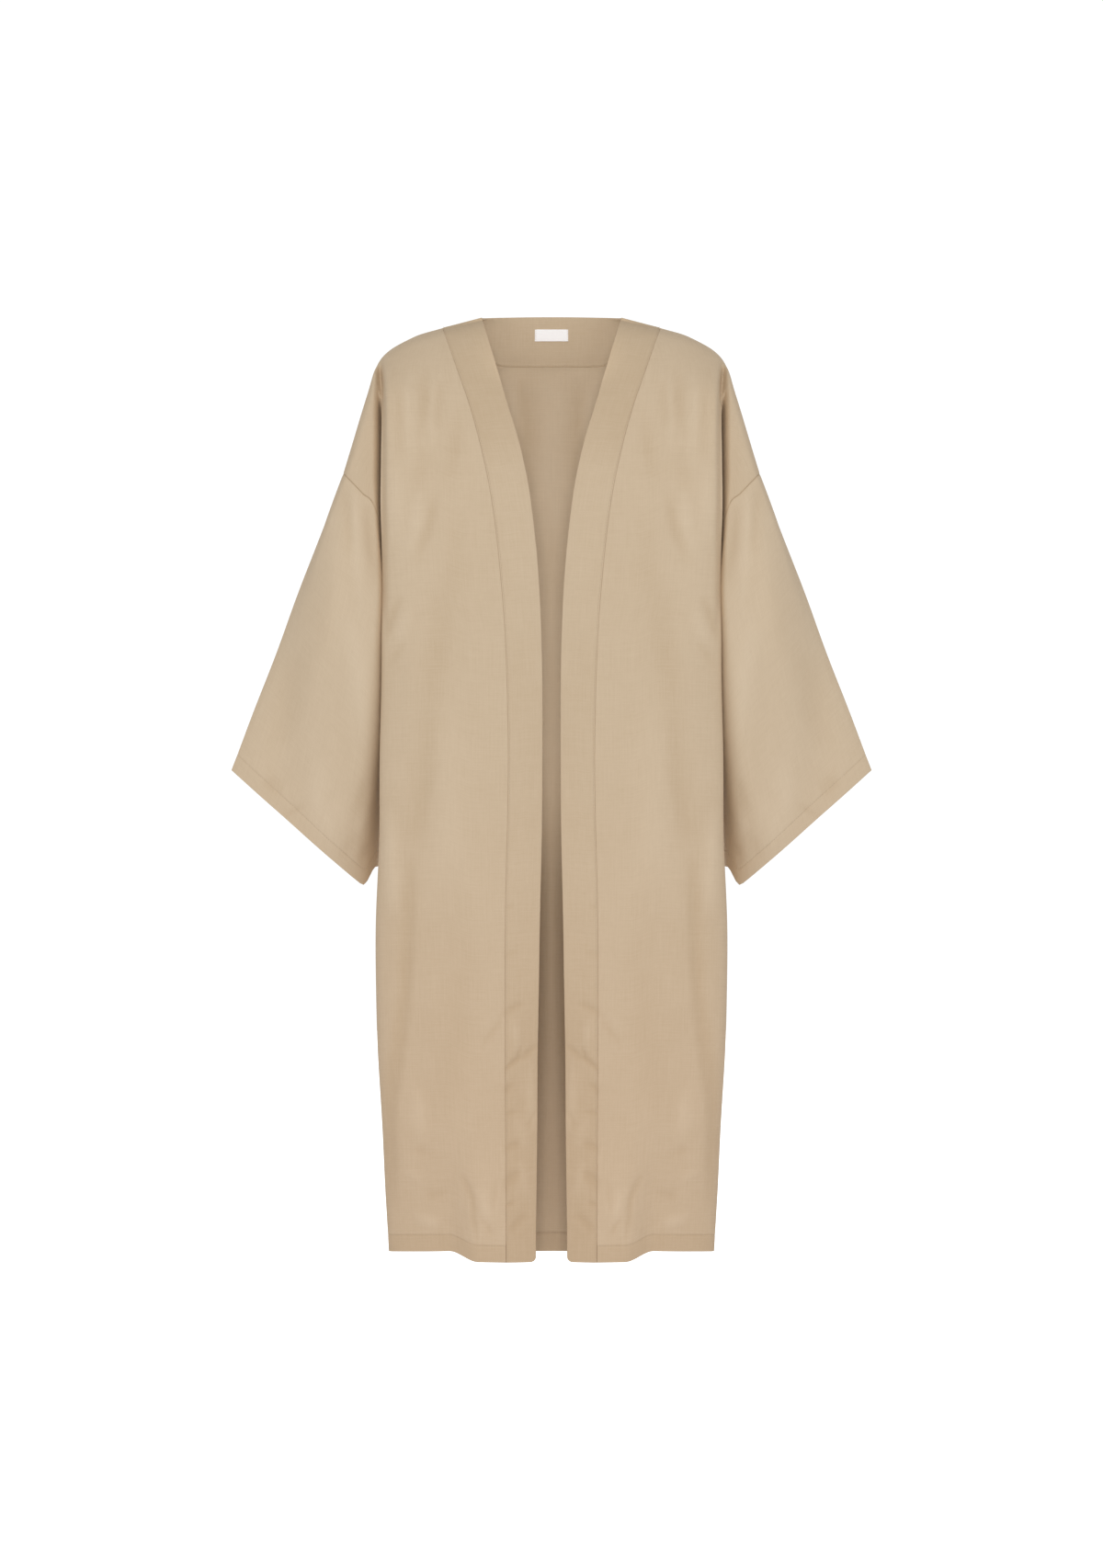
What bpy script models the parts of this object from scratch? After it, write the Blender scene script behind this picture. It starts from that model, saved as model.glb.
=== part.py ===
"""Open-front kimono jacket, filled out as it hangs on a wearer, with nobody in it.

The garment faces -Y, +Z is up, and +X is the wearer's left. The origin lies midway between the
two points where the shoulder line meets the neck. Sizes are in metres.

Every cut piece is a thin wall. Its outer skin is a grid of points: the rows run across the garment
through a few guide points, and the section tables below place those guide points at each height.
"""

from collections import namedtuple

import bmesh
import bpy
import numpy as np

GARMENT = "kimono_jacket"

# Cloth
CLOTH_WALL = 0.0012          # single cloth
TURNED_WALL = 0.0022         # hem and cuff, where the cloth is turned up
BAND_WALL = 0.0022           # folded double band
LABEL_WALL = 0.0010
SEAM_GAP = 0.0003            # clear distance between two sewn pieces
HEM_TURN = 0.020             # depth of the turned hem and cuff
TURN_STEP = 0.004            # length over which the wall thickens into the turned cloth

# Neck, band and label
NECK_HALF = 0.0776           # half width of the neck at the shoulder line
BAND_AT_SHOULDER = 0.1211    # half width to the band's seam at the shoulder line
SHOULDER_DROP = 0.0112       # the band's seam is this far below the neck point
NAPE_TOP = 0.0075            # height of the band's top edge at the centre back
NAPE_LEAN = 0.012            # the band's top edge leans this far forward at the nape
NAPE_ROUND = 0.8             # power of the nape's plan curve: 1 is an ellipse, less is squarer
BAND_TURN = 0.007            # the front edge turns back by this much
BAND_CROWN = 0.002           # the band's middle stands proud by this much
RIDGE_Y = 0.005              # depth of the shoulder line
LABEL_WIDTH = 0.038
LABEL_TOP = 0.24             # label's upper and lower edge, as shares of the band's height
LABEL_BOTTOM = 0.48

# Half distance between the band's front edges, and between its seams, by drop below the neck point
Spread = namedtuple("Spread", "drop half")
FRONT_EDGE = [
    Spread(drop=0.000, half=NECK_HALF),
    Spread(drop=0.104, half=0.0474),
    Spread(drop=0.145, half=0.0353),
    Spread(drop=0.186, half=0.0262),
    Spread(drop=0.246, half=0.0183),
    Spread(drop=0.305, half=0.0133),
    Spread(drop=0.465, half=0.0093),
    Spread(drop=0.665, half=0.0122),
    Spread(drop=1.040, half=0.0172),
]
BAND_SEAM = [
    Spread(drop=SHOULDER_DROP, half=BAND_AT_SHOULDER),
    Spread(drop=0.061, half=0.1042),
    Spread(drop=0.104, half=0.0896),
    Spread(drop=0.186, half=0.0692),
    Spread(drop=0.305, half=0.0541),
    Spread(drop=0.465, half=0.0471),
    Spread(drop=0.665, half=0.0502),
    Spread(drop=1.040, half=0.0494),
]
EDGE_RISE = SHOULDER_DROP    # the V neck's edge lies this much above the seam beside it
EDGE_RISE_ENDS = (0.10, 0.32)

# Front sections, from the shoulder line down. drop_in is at the band's seam and drop_out at the
# armhole or side seam. lip is where the chest turns back, fold the bottom of the armhole fold or,
# below the underarm, the widest point of the side, and seam the armhole or side seam.
Front = namedtuple("Front", "drop_in drop_out front_y lip_x lip_y fold_x fold_y seam_x seam_y")
FRONT = [
    Front(SHOULDER_DROP, 0.1754, RIDGE_Y, 0.1890, RIDGE_Y, 0.2040, RIDGE_Y, 0.2308, RIDGE_Y),
    Front(0.026, 0.1780, -0.032, 0.1890, -0.030, 0.2025, -0.024, 0.2285, -0.022),
    Front(0.075, 0.1870, -0.070, 0.1845, -0.076, 0.1870, -0.052, 0.2195, -0.046),
    Front(0.150, 0.2005, -0.098, 0.1838, -0.088, 0.1815, -0.046, 0.2065, -0.060),
    Front(0.220, 0.2145, -0.110, 0.1838, -0.090, 0.1800, -0.038, 0.1935, -0.058),
    Front(0.290, 0.2700, -0.115, 0.1825, -0.086, 0.1805, -0.045, 0.1765, -0.018),
    Front(0.360, 0.3600, -0.115, 0.1790, -0.084, 0.1825, -0.045, 0.1620, 0.030),
    Front(0.520, 0.5200, -0.111, 0.1760, -0.084, 0.1890, -0.045, 0.1630, 0.032),
    Front(0.700, 0.7000, -0.105, 0.1780, -0.079, 0.1915, -0.042, 0.1650, 0.030),
    Front(0.870, 0.8700, -0.098, 0.1740, -0.073, 0.1870, -0.040, 0.1640, 0.026),
    Front(1.039, 1.0320, -0.092, 0.1660, -0.066, 0.1785, -0.036, 0.1600, 0.022),
]
UNDERARM = 6                 # row of FRONT where the sleeve leaves the body
# Share of the way from drop_in to drop_out at the five guide points of a row
DROP_SHARES = (0.0, 0.067, 0.206, 0.46, 1.0)
CHEST_EASE = 0.20            # how far the chest point has come round from the band towards the lip

# Back sections at the same rows. mid is the centre back, and neck the column under the end of the
# band's shoulder seam.
Back = namedtuple(
    "Back", "drop_mid drop_in mid_y neck_x neck_y lip_x lip_y fold_x fold_y seam_x seam_y")
BACK = [
    Back(0.0480, SHOULDER_DROP, 0.085, BAND_AT_SHOULDER, RIDGE_Y,
         0.1890, RIDGE_Y, 0.2040, RIDGE_Y, 0.2308, RIDGE_Y),
    Back(0.0600, 0.024, 0.089, 0.1210, 0.036, 0.1890, 0.034, 0.2025, 0.030, 0.2285, 0.032),
    Back(0.1000, 0.072, 0.097, 0.1200, 0.074, 0.1850, 0.072, 0.1930, 0.060, 0.2195, 0.056),
    Back(0.1620, 0.148, 0.102, 0.1190, 0.093, 0.1780, 0.082, 0.1830, 0.060, 0.2065, 0.068),
    Back(0.2250, 0.218, 0.102, 0.1170, 0.096, 0.1720, 0.078, 0.1750, 0.057, 0.1935, 0.068),
    Back(0.2920, 0.290, 0.099, 0.1140, 0.092, 0.1620, 0.072, 0.1670, 0.058, 0.1740, 0.058),
    Back(0.3600, 0.360, 0.095, 0.1100, 0.087, 0.1430, 0.070, 0.1560, 0.053, 0.1620, 0.030),
    Back(0.5200, 0.520, 0.086, 0.1080, 0.079, 0.1420, 0.065, 0.1560, 0.051, 0.1630, 0.032),
    Back(0.7000, 0.700, 0.083, 0.1080, 0.076, 0.1420, 0.062, 0.1570, 0.048, 0.1650, 0.030),
    Back(0.8700, 0.870, 0.078, 0.1060, 0.071, 0.1400, 0.057, 0.1560, 0.044, 0.1640, 0.026),
    Back(1.0440, 1.042, 0.072, 0.1040, 0.065, 0.1380, 0.052, 0.1530, 0.039, 0.1600, 0.022),
]
BLADE_AT = 0.50              # blade point between the centre back and the neck column
BLADE_DROP = 0.09            # share of the fall from the centre back that the blade point has
CORNER_ROWS = 1.0            # the neck corner's crease fades out over this many rows

# Wave of the front hem: beside the band the cloth hangs lower and further forward than at the side
WAVE_FROM, WAVE_TO = 0.080, 0.113
WAVE_LIFT = 0.010            # the side part of the hem is this much higher
WAVE_DEPTH = 0.012           # and its cloth stands this much further back
WAVE_HEIGHT = 0.16           # height over which the wave fades out above the hem
WAVE_COLUMN = 1              # from this guide point on, the lift runs out towards the side seam

# Sleeve sections by share of the way from armhole to cuff: the outer fold and the inner edge in space,
# the swell of the front and back walls from the line between them, and how sharp the two edges are.
Sleeve = namedtuple(
    "Sleeve", "share outer_x outer_y outer_drop inner_x inner_y inner_drop front back outer_pow inner_pow")
SLEEVE = [
    Sleeve(0.0, 0.2308, 0.005, 0.1754, 0.1620, 0.030, 0.3600, 0.062, 0.056, 0.55, 0.75),
    Sleeve(0.3, 0.2682, 0.004, 0.2737, 0.1735, 0.030, 0.4420, 0.058, 0.050, 0.65, 0.80),
    Sleeve(0.6, 0.3055, 0.002, 0.3719, 0.1850, 0.030, 0.5180, 0.048, 0.044, 0.75, 0.75),
    Sleeve(1.0, 0.3553, 0.000, 0.5030, 0.1945, 0.028, 0.6100, 0.036, 0.036, 0.85, 0.60),
]
CUFF_DROOP = 0.033           # the cuff's front wall hangs this much lower at its inner end
BACK_DROOP = 0.45            # share of that droop on the back wall
DROOP_TURN = (0.90, 1.0)     # where the droop turns up again into the inner edge
ARMHOLE_FADE = 0.75          # the armhole's own shape fades into the sleeve over this share

# Grid lines: guide-point positions across a row, and row positions down the sections
FRONT_COLUMNS = (0, 0.4, 0.8, 1.15, 1.5, 1.75, 2, 2.25, 2.5, 2.75, 3, 3.35, 3.7, 4)
NECK_COLUMNS = (0, 0.4, 0.8, 1.15, 1.45, 1.75, 2)
UPPER_ROWS = (0, 0.3, 0.65, 1, 1.5, 2, 2.5, 3, 3.5, 4, 4.4, 4.8, 5.2, 5.5, 5.75, 5.9, 6)
LOWER_ROWS = (6.35, 6.7, 7.1, 7.5, 8, 8.5, 9, 9.4, 9.7)
LAST_ROW = len(FRONT) - 1
BAND_COLUMNS = (0, 0.35, 0.75, 1)
SLEEVE_ROWS = (0, 0.03, 0.08, 0.15, 0.24, 0.34, 0.45, 0.56, 0.67, 0.78, 0.88)

CORNER_PASSES = 12           # repeats that let the pieces agree where several seams meet
MIRROR = np.array((-1, 1, 1))
BODY_INSIDE = (0.0, 0.0, -0.5)
NECK_INSIDE = (0.0, 0.01, -0.02)

LINEN = (0.58, 0.46, 0.32)
LINEN_ROUGHNESS = 0.9
LABEL_WHITE = (0.85, 0.82, 0.80)
LABEL_ROUGHNESS = 0.7
SHARP_EDGE = np.radians(50)


# Curves and blends

def through(keys, values, at):
    """Smooth curve through values (rows) at keys, read at the positions in at."""
    keys, values, at = (np.asarray(a, float) for a in (keys, values, at))
    slopes = np.gradient(values, keys, axis=0)
    i = np.clip(np.searchsorted(keys, at, side="right") - 1, 0, len(keys) - 2)
    step = keys[i + 1] - keys[i]
    t = (at - keys[i]) / step
    shape = t.shape + (1,) * (values.ndim - 1)
    t, step = t.reshape(shape), step.reshape(shape)
    start, end = values[i], values[i + 1]
    return (
        start * (1 + 2 * t) * (1 - t) ** 2
        + end * t * t * (3 - 2 * t)
        + slopes[i] * step * t * (1 - t) ** 2
        - slopes[i + 1] * step * t * t * (1 - t)
    )


def ease(low, high, x):
    """0 below low, 1 above high, and a smooth step between."""
    t = np.clip((np.asarray(x, float) - low) / (high - low), 0, 1)
    return t * t * (3 - 2 * t)


def half_width(table, drop):
    return through([row.drop for row in table], [row.half for row in table], drop)


def section(table, at):
    """The section table's columns, read at row position at, as a row of the same kind."""
    rows = through(range(len(table)), np.array(table), np.array([at]))
    return type(table[0])(*rows[0])


# Outer skins of the body

def hem_wave(points):
    """The front hem's wave: the side of the panel is lifted and set back near the hem."""
    hem = FRONT[LAST_ROW].drop_in
    near_hem = 1 - ease(0, WAVE_HEIGHT, hem + points[:, 2])
    past_band = ease(WAVE_FROM, WAVE_TO, points[:, 0])
    columns = np.array(FRONT_COLUMNS)
    before_seam = np.clip((columns[-1] - columns) / (columns[-1] - WAVE_COLUMN), 0, 1)
    points[:, 2] += WAVE_LIFT * past_band * before_seam * near_hem
    points[:, 1] += WAVE_DEPTH * (past_band * before_seam - (1 - past_band)) * near_hem
    return points


def outer_seam(table, at):
    """Place of the armhole, or of the side seam that front and back share below the underarm."""
    if at < UNDERARM:
        row, front_row = (section(rows[:UNDERARM + 1], at) for rows in (table, FRONT))
    else:
        row = front_row = section(FRONT[UNDERARM:], at - UNDERARM)
    return row.seam_x, row.seam_y, front_row.drop_out


def front_guides(at):
    """Band seam, chest, lip, fold and outer seam of the front row at position at."""
    row = section(FRONT, at)
    seam_x, seam_y, drop_out = outer_seam(FRONT, at)
    band_x = float(half_width(BAND_SEAM, row.drop_in))
    drops = row.drop_in + (drop_out - row.drop_in) * np.array(DROP_SHARES)
    chest = ((band_x + row.lip_x) / 2, row.front_y + CHEST_EASE * (row.lip_y - row.front_y))
    across = [(band_x, row.front_y), chest, (row.lip_x, row.lip_y),
              (row.fold_x, row.fold_y), (seam_x, seam_y)]
    return np.column_stack([across, -drops])


def back_guides(at):
    """Centre back, blade, neck column, then shoulder, lip, fold and outer seam of a back row."""
    row = section(BACK, at)
    seam_x, seam_y, drop_out = outer_seam(BACK, at)
    drops = row.drop_in + (drop_out - row.drop_in) * np.array(DROP_SHARES)
    blade_y = row.mid_y - BLADE_DROP * (row.mid_y - row.neck_y)
    blade = (BLADE_AT * row.neck_x, blade_y, -row.drop_mid)
    shoulder = ((row.neck_x + row.lip_x) / 2, row.neck_y + CHEST_EASE * (row.lip_y - row.neck_y))
    across = [(row.neck_x, row.neck_y), shoulder, (row.lip_x, row.lip_y),
              (row.fold_x, row.fold_y), (seam_x, seam_y)]
    outer = np.column_stack([across, -drops])
    return np.vstack([(0, row.mid_y, -row.drop_mid), blade, outer])


def body_rows():
    """Row positions from the shoulder to the hem, with the two lines of the turned hem."""
    last_length = FRONT[LAST_ROW].drop_in - FRONT[LAST_ROW - 1].drop_in
    turn = LAST_ROW - HEM_TURN / last_length
    return (*UPPER_ROWS, *LOWER_ROWS, turn - TURN_STEP / last_length, turn, LAST_ROW)


def front_skin():
    """Outer points of the wearer's left front, rows by columns."""
    rows = [hem_wave(through(range(5), front_guides(at), FRONT_COLUMNS)) for at in body_rows()]
    return np.array(rows)


def back_row(at):
    """Half a back row. At the neck corner it is creased, and lower down it runs smoothly through."""
    guides = back_guides(at)
    neck_columns = np.array(NECK_COLUMNS)
    outer_columns = np.array(FRONT_COLUMNS[1:]) + NECK_COLUMNS[-1]
    creased = np.vstack([
        through(range(3), guides[:3], neck_columns),
        through(range(5), guides[2:], FRONT_COLUMNS[1:]),
    ])
    smooth = through(range(7), guides, np.concatenate([neck_columns, outer_columns]))
    share = ease(0, CORNER_ROWS, at)
    return creased * (1 - share) + smooth * share


def back_skin():
    """Outer points of the back's left half, from the centre outwards."""
    rows = np.array([back_row(at) for at in body_rows()])
    rows[:, 0, 0] = 0
    return rows


def both_halves(half):
    """A left half from the centre outwards, with its mirror image before it."""
    mirrored = half[:, :0:-1] * MIRROR
    return np.concatenate([mirrored, half], axis=1)


# Outer skins of the bands, label and sleeves

def front_band_skin(front):
    """The band beside the left front, from its seam to the front edge, rows from shoulder to hem."""
    seam = front[:, 0]
    drop = -seam[:, 2]
    rise = EDGE_RISE * (1 - ease(*EDGE_RISE_ENDS, drop))
    edge_drop = drop - rise
    edge_x = half_width(FRONT_EDGE, edge_drop)
    lengths = np.concatenate([[0], np.cumsum(np.linalg.norm(np.diff(seam, axis=0), axis=1))])
    edge_y = np.interp(lengths - rise, lengths, seam[:, 1])
    below_shoulder = ease(SHOULDER_DROP, EDGE_RISE_ENDS[1], drop)
    edge_y += BAND_TURN * below_shoulder
    edge = np.column_stack([edge_x, edge_y, -edge_drop])
    share = np.array(BAND_COLUMNS)[None, :, None]
    skin = seam[:, None] * (1 - share) + edge[:, None] * share
    skin[:, 1:-1, 1] -= BAND_CROWN * below_shoulder[:, None]
    return skin


def neck_band_skin(back):
    """The band round the back neck, both halves: columns along the neck, rows from seam to top edge."""
    count = len(NECK_COLUMNS)
    seam = back[0, :count]
    turn = np.linspace(0, 1, count) * np.pi / 2
    nape_y = seam[0, 1] - NAPE_LEAN
    top = np.column_stack([
        NECK_HALF * np.sin(turn) ** NAPE_ROUND,
        RIDGE_Y + (nape_y - RIDGE_Y) * np.cos(turn) ** NAPE_ROUND,
        NAPE_TOP * np.cos(turn),
    ])
    share = np.array(BAND_COLUMNS)[:, None, None]
    half = seam[None] * (1 - share) + top[None] * share
    return both_halves(half)


def label_skin(band, normals):
    """The label's sewn face, set off the inside of the neck band, and its normals."""
    across = np.array((-LABEL_WIDTH / 2, 0, LABEL_WIDTH / 2))

    def on_band(grid, share):
        line, places = (through(BAND_COLUMNS, g, np.array([share]))[0] for g in (grid, band))
        return np.column_stack([np.interp(across, places[:, 0], line[:, k]) for k in range(3)])

    shares = (1 - LABEL_TOP, 1 - LABEL_BOTTOM)
    face = np.array([on_band(band - normals * (BAND_WALL + SEAM_GAP), share) for share in shares])
    facing = np.array([on_band(normals, share) for share in shares])
    return face, facing


def armhole(front, back):
    """The armhole as a ring of points: down the front to the underarm and up the back."""
    rows = len(UPPER_ROWS)
    return np.concatenate([front[:rows, -1], back[rows - 2:0:-1, -1]])


def sleeve_skin(hole):
    """Outer points of the left sleeve: rings from the armhole to the cuff."""
    count = len(UPPER_ROWS)
    steps = np.linalg.norm(np.diff(hole[:count], axis=0), axis=1)
    front_share = np.concatenate([[0], np.cumsum(steps)]) / steps.sum()
    share = np.concatenate([front_share, front_share[-2:0:-1]])[:, None]
    back_side = np.arange(len(hole)) >= count
    keys = [row.share for row in SLEEVE]

    def ring(at):
        row = Sleeve(*through(keys, np.array(SLEEVE), np.array([at]))[0])
        outer = np.array((row.outer_x, row.outer_y, -row.outer_drop))
        inner = np.array((row.inner_x, row.inner_y, -row.inner_drop))
        points = outer * (1 - share) + inner * share
        s = share[:, 0]
        peak = row.outer_pow / (row.outer_pow + row.inner_pow)
        most = peak ** row.outer_pow * (1 - peak) ** row.inner_pow
        swell = s ** row.outer_pow * (1 - s) ** row.inner_pow / most
        points[:, 1] += np.where(back_side, row.back, -row.front) * swell
        droop = CUFF_DROOP * s * (1 - ease(*DROOP_TURN, s)) * at ** 2
        points[:, 2] -= droop * np.where(back_side, BACK_DROOP, 1)
        return points

    length = np.linalg.norm(np.subtract(ring(1)[0], ring(0)[0]))
    turn = 1 - HEM_TURN / length
    own_shape = hole - ring(0)
    stations = (*SLEEVE_ROWS, turn - TURN_STEP / length, turn, 1)
    return np.array([ring(at) + own_shape * (1 - ease(0, ARMHOLE_FADE, at)) for at in stations])


# Walls

def skin_normals(points, inside, closed=False):
    """Unit normals of a grid of points, turned away from the point or points inside."""
    if closed:
        ringed = np.concatenate([points[:, -1:], points, points[:, :1]], axis=1)
        across = np.gradient(ringed, axis=1)[:, 1:-1]
    else:
        across = np.gradient(points, axis=1)
    down = np.gradient(points, axis=0)
    normals = np.cross(across, down)
    normals /= np.linalg.norm(normals, axis=2, keepdims=True)
    outwards = ((points - inside) * normals).sum()
    return normals * np.sign(outwards)


def share_normals(*pairs):
    """Gives two pieces the same normals along their seam, so that their cut edges stay parallel."""
    for (first, at), (second, there) in pairs * CORNER_PASSES:
        mean = first[at] + second[there]
        mean /= np.linalg.norm(mean, axis=-1, keepdims=True)
        first[at], second[there] = mean, mean


def trim(points, *edges):
    """Pulls the named edges of a grid back by half a seam gap."""
    moved = points.copy()
    lines = {
        "top": (np.s_[0], np.s_[1]),
        "first": (np.s_[:, 0], np.s_[:, 1]),
        "last": (np.s_[:, -1], np.s_[:, -2]),
    }
    for edge in edges:
        line, beside = lines[edge]
        way = points[beside] - points[line]
        moved[line] += way / np.linalg.norm(way, axis=-1, keepdims=True) * SEAM_GAP / 2
    return moved


def turned_wall(rows, turned_rows=2):
    """Wall thickness by row: single cloth, and turned cloth on the last rows."""
    wall = np.full(rows, CLOTH_WALL)
    wall[-turned_rows:] = TURNED_WALL
    return wall[:, None, None]


def cloth(name, points, normals, wall, side=1, closed=False):
    """A closed wall between the outer skin and the same skin set in by the wall's thickness."""
    hand = np.array((side, 1, 1))
    skins = (points * hand, (points - normals * wall) * hand)
    bm = bmesh.new()
    outer, inner = ([[bm.verts.new(p) for p in row] for row in skin] for skin in skins)

    def strip(first, second, ring=False):
        """Quads between two lines of vertices."""
        for j in range(len(first) if ring else len(first) - 1):
            k = (j + 1) % len(first)
            bm.faces.new((first[j], first[k], second[k], second[j]))

    for skin in (outer, inner):
        for above, below in zip(skin, skin[1:]):
            strip(above, below, closed)
    for end in (0, -1):
        strip(outer[end], inner[end], closed)
        if not closed:
            strip([row[end] for row in outer], [row[end] for row in inner])
    bmesh.ops.recalc_face_normals(bm, faces=bm.faces)
    mesh = bpy.data.meshes.new(name)
    bm.to_mesh(mesh)
    bm.free()
    mesh.shade_smooth()
    mesh.set_sharp_from_angle(angle=SHARP_EDGE)
    piece = bpy.data.objects.new(name, mesh)
    bpy.data.collections[GARMENT].objects.link(piece)
    return piece


def dye(piece, colour, roughness):
    """Gives a piece its own cloth material."""
    material = bpy.data.materials.new(piece.name)
    material.use_nodes = True
    shader = material.node_tree.nodes["Principled BSDF"]
    shader.inputs["Base Color"].default_value = (*colour, 1)
    shader.inputs["Roughness"].default_value = roughness
    shader.inputs["Metallic"].default_value = 0
    piece.data.materials.append(material)


# Assembly

def clear_scene():
    for thing in list(bpy.data.objects):
        bpy.data.objects.remove(thing)
    collection = bpy.data.collections.new(GARMENT)
    bpy.context.scene.collection.children.link(collection)


def build():
    """Works out the skins and their normals, then makes the nine pieces."""
    front, back = front_skin(), back_skin()
    band = front_band_skin(front)
    neck = neck_band_skin(back)
    sleeve = sleeve_skin(armhole(front, back))

    front_n = skin_normals(front, BODY_INSIDE)
    back_n = skin_normals(back, BODY_INSIDE)
    band_n = skin_normals(band, BODY_INSIDE)
    neck_n = skin_normals(neck, NECK_INSIDE)
    sleeve_n = skin_normals(sleeve, sleeve.mean(axis=1, keepdims=True), closed=True)
    back_n[:, 0, 0] = 0

    upper, corner, middle = len(UPPER_ROWS), len(NECK_COLUMNS) - 1, neck.shape[1] // 2
    shoulder = ((front_n, np.s_[0]), (back_n, np.s_[0, corner:]))
    side = ((front_n, np.s_[upper - 1:, -1]), (back_n, np.s_[upper - 1:, -1]))
    front_to_band = ((front_n, np.s_[:, 0]), (band_n, np.s_[:, 0]))
    back_to_band = ((back_n, np.s_[0, :corner + 1]), (neck_n, np.s_[0, middle:]))
    band_ends = ((band_n, np.s_[0]), (neck_n, np.s_[:, -1]))
    front_armhole = ((front_n, np.s_[:upper, -1]), (sleeve_n, np.s_[0, :upper]))
    back_ring = list(range(0, 1 - upper, -1))
    back_armhole = ((back_n, np.s_[:upper - 1, -1]), (sleeve_n, np.s_[0, back_ring]))
    share_normals(shoulder, side, front_to_band, back_to_band, band_ends, front_armhole, back_armhole)
    neck_n[:, :middle] = neck_n[:, :middle:-1] * MIRROR

    back_piece = both_halves(trim(back, "top", "last"))
    pieces = [
        cloth("back", back_piece, both_halves(back_n), turned_wall(len(back))),
        cloth("band_neck", trim(neck, "top", "first", "last"), neck_n, BAND_WALL),
    ]
    for name, hand in (("left", 1), ("right", -1)):
        front_cut = trim(front, "top", "first", "last")
        pieces += [
            cloth(f"front_{name}", front_cut, front_n, turned_wall(len(front)), hand),
            cloth(f"band_{name}", trim(band, "top", "first"), band_n, BAND_WALL, hand),
            cloth(f"sleeve_{name}", trim(sleeve, "top"), sleeve_n, turned_wall(len(sleeve)), hand, True),
        ]
    for piece in pieces:
        dye(piece, LINEN, LINEN_ROUGHNESS)
    label = cloth("neck_label", *label_skin(neck, neck_n), LABEL_WALL)
    dye(label, LABEL_WHITE, LABEL_ROUGHNESS)


clear_scene()
build()
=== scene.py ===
"""Looks of the open-front kimono jacket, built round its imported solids.

Each cloth piece is a thin shell on its solid's form: the section tables are those of the part's source,
read on a finer grid. Creases, seams and hems are then pressed into the shells from short tables in
their own sizes. The jacket faces -Y, +Z is up and +X is the wearer's left. Sizes are in metres.
"""

from collections import namedtuple

import bpy
import numpy as np
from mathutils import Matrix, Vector


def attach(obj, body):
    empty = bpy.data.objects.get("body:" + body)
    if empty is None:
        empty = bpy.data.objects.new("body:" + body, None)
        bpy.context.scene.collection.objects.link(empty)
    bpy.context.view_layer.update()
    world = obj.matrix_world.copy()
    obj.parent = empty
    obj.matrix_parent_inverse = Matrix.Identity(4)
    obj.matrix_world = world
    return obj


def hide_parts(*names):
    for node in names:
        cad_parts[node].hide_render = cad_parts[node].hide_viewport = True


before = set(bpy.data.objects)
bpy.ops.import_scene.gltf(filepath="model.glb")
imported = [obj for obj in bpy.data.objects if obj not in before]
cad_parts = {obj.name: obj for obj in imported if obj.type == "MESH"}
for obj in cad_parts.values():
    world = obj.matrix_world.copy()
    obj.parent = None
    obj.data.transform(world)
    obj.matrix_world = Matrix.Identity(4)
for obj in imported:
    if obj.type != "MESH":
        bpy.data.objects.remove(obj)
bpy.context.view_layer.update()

BODY = "root"


def in_metres(kind, *rows):
    """Rows of a table, from sizes in millimetres."""
    return [kind(*(size / 1000 for size in row)) for row in rows]


# Cloth
CLOTH_WALL = 0.0010  # single cloth
TURNED_WALL = 0.0020  # hem and cuff, where the cloth is turned up
BAND_WALL = 0.0022  # folded double band
LABEL_WALL = 0.0007
HEM_TURN = 0.020  # depth of the turned hem and cuff
TURN_STEP = 0.002  # length over which the wall thickens into the turned cloth
LABEL_LIFT = 0.0003  # clear distance between the label and the band

# Neck, band and label
NECK_HALF = 0.0776  # half width of the neck at the shoulder line
BAND_AT_SHOULDER = 0.1211  # half width to the band's seam at the shoulder line
SHOULDER_DROP = 0.0112  # the band's seam is this far below the neck point
NAPE_TOP = 0.0075  # height of the band's top edge at the centre back
NAPE_LEAN = 0.012  # the band's top edge leans this far forward at the nape
NAPE_ROUND = 0.8  # power of the nape's plan curve: 1 is an ellipse, less is squarer
BAND_TURN = 0.007  # the front edge turns back by this much
BAND_CROWN = 0.0012  # the band's middle stands proud by this much
CROWN_ROUND = 0.6  # power of its curve: less is squarer
BAND_CORNER = 0.006  # radius of the band's lower front corner
CORNER_FADE = 0.024  # height over which that rounding fades out
RIDGE_Y = 0.005  # depth of the shoulder line
LABEL_WIDTH = 0.038
LABEL_TOP = 0.24  # label's upper and lower edge, as shares of the band's height
LABEL_BOTTOM = 0.48

# Half distance between the band's front edges, and between its seams, by drop below the neck point
Spread = namedtuple("Spread", "drop half")
FRONT_EDGE = [Spread(0.000, NECK_HALF)] + in_metres(
    Spread,
    (104, 47.4), (145, 35.3), (186, 26.2), (246, 18.3), (305, 13.3), (465, 9.3), (665, 12.2),
    (1040, 17.2),
)
BAND_SEAM = [Spread(SHOULDER_DROP, BAND_AT_SHOULDER)] + in_metres(
    Spread,
    (61, 104.2), (104, 89.6), (186, 69.2), (305, 54.1), (465, 47.1), (665, 50.2), (1040, 49.4),
)
EDGE_RISE = SHOULDER_DROP  # the V neck's edge lies this much above the seam beside it
EDGE_RISE_ENDS = (0.10, 0.32)

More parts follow.
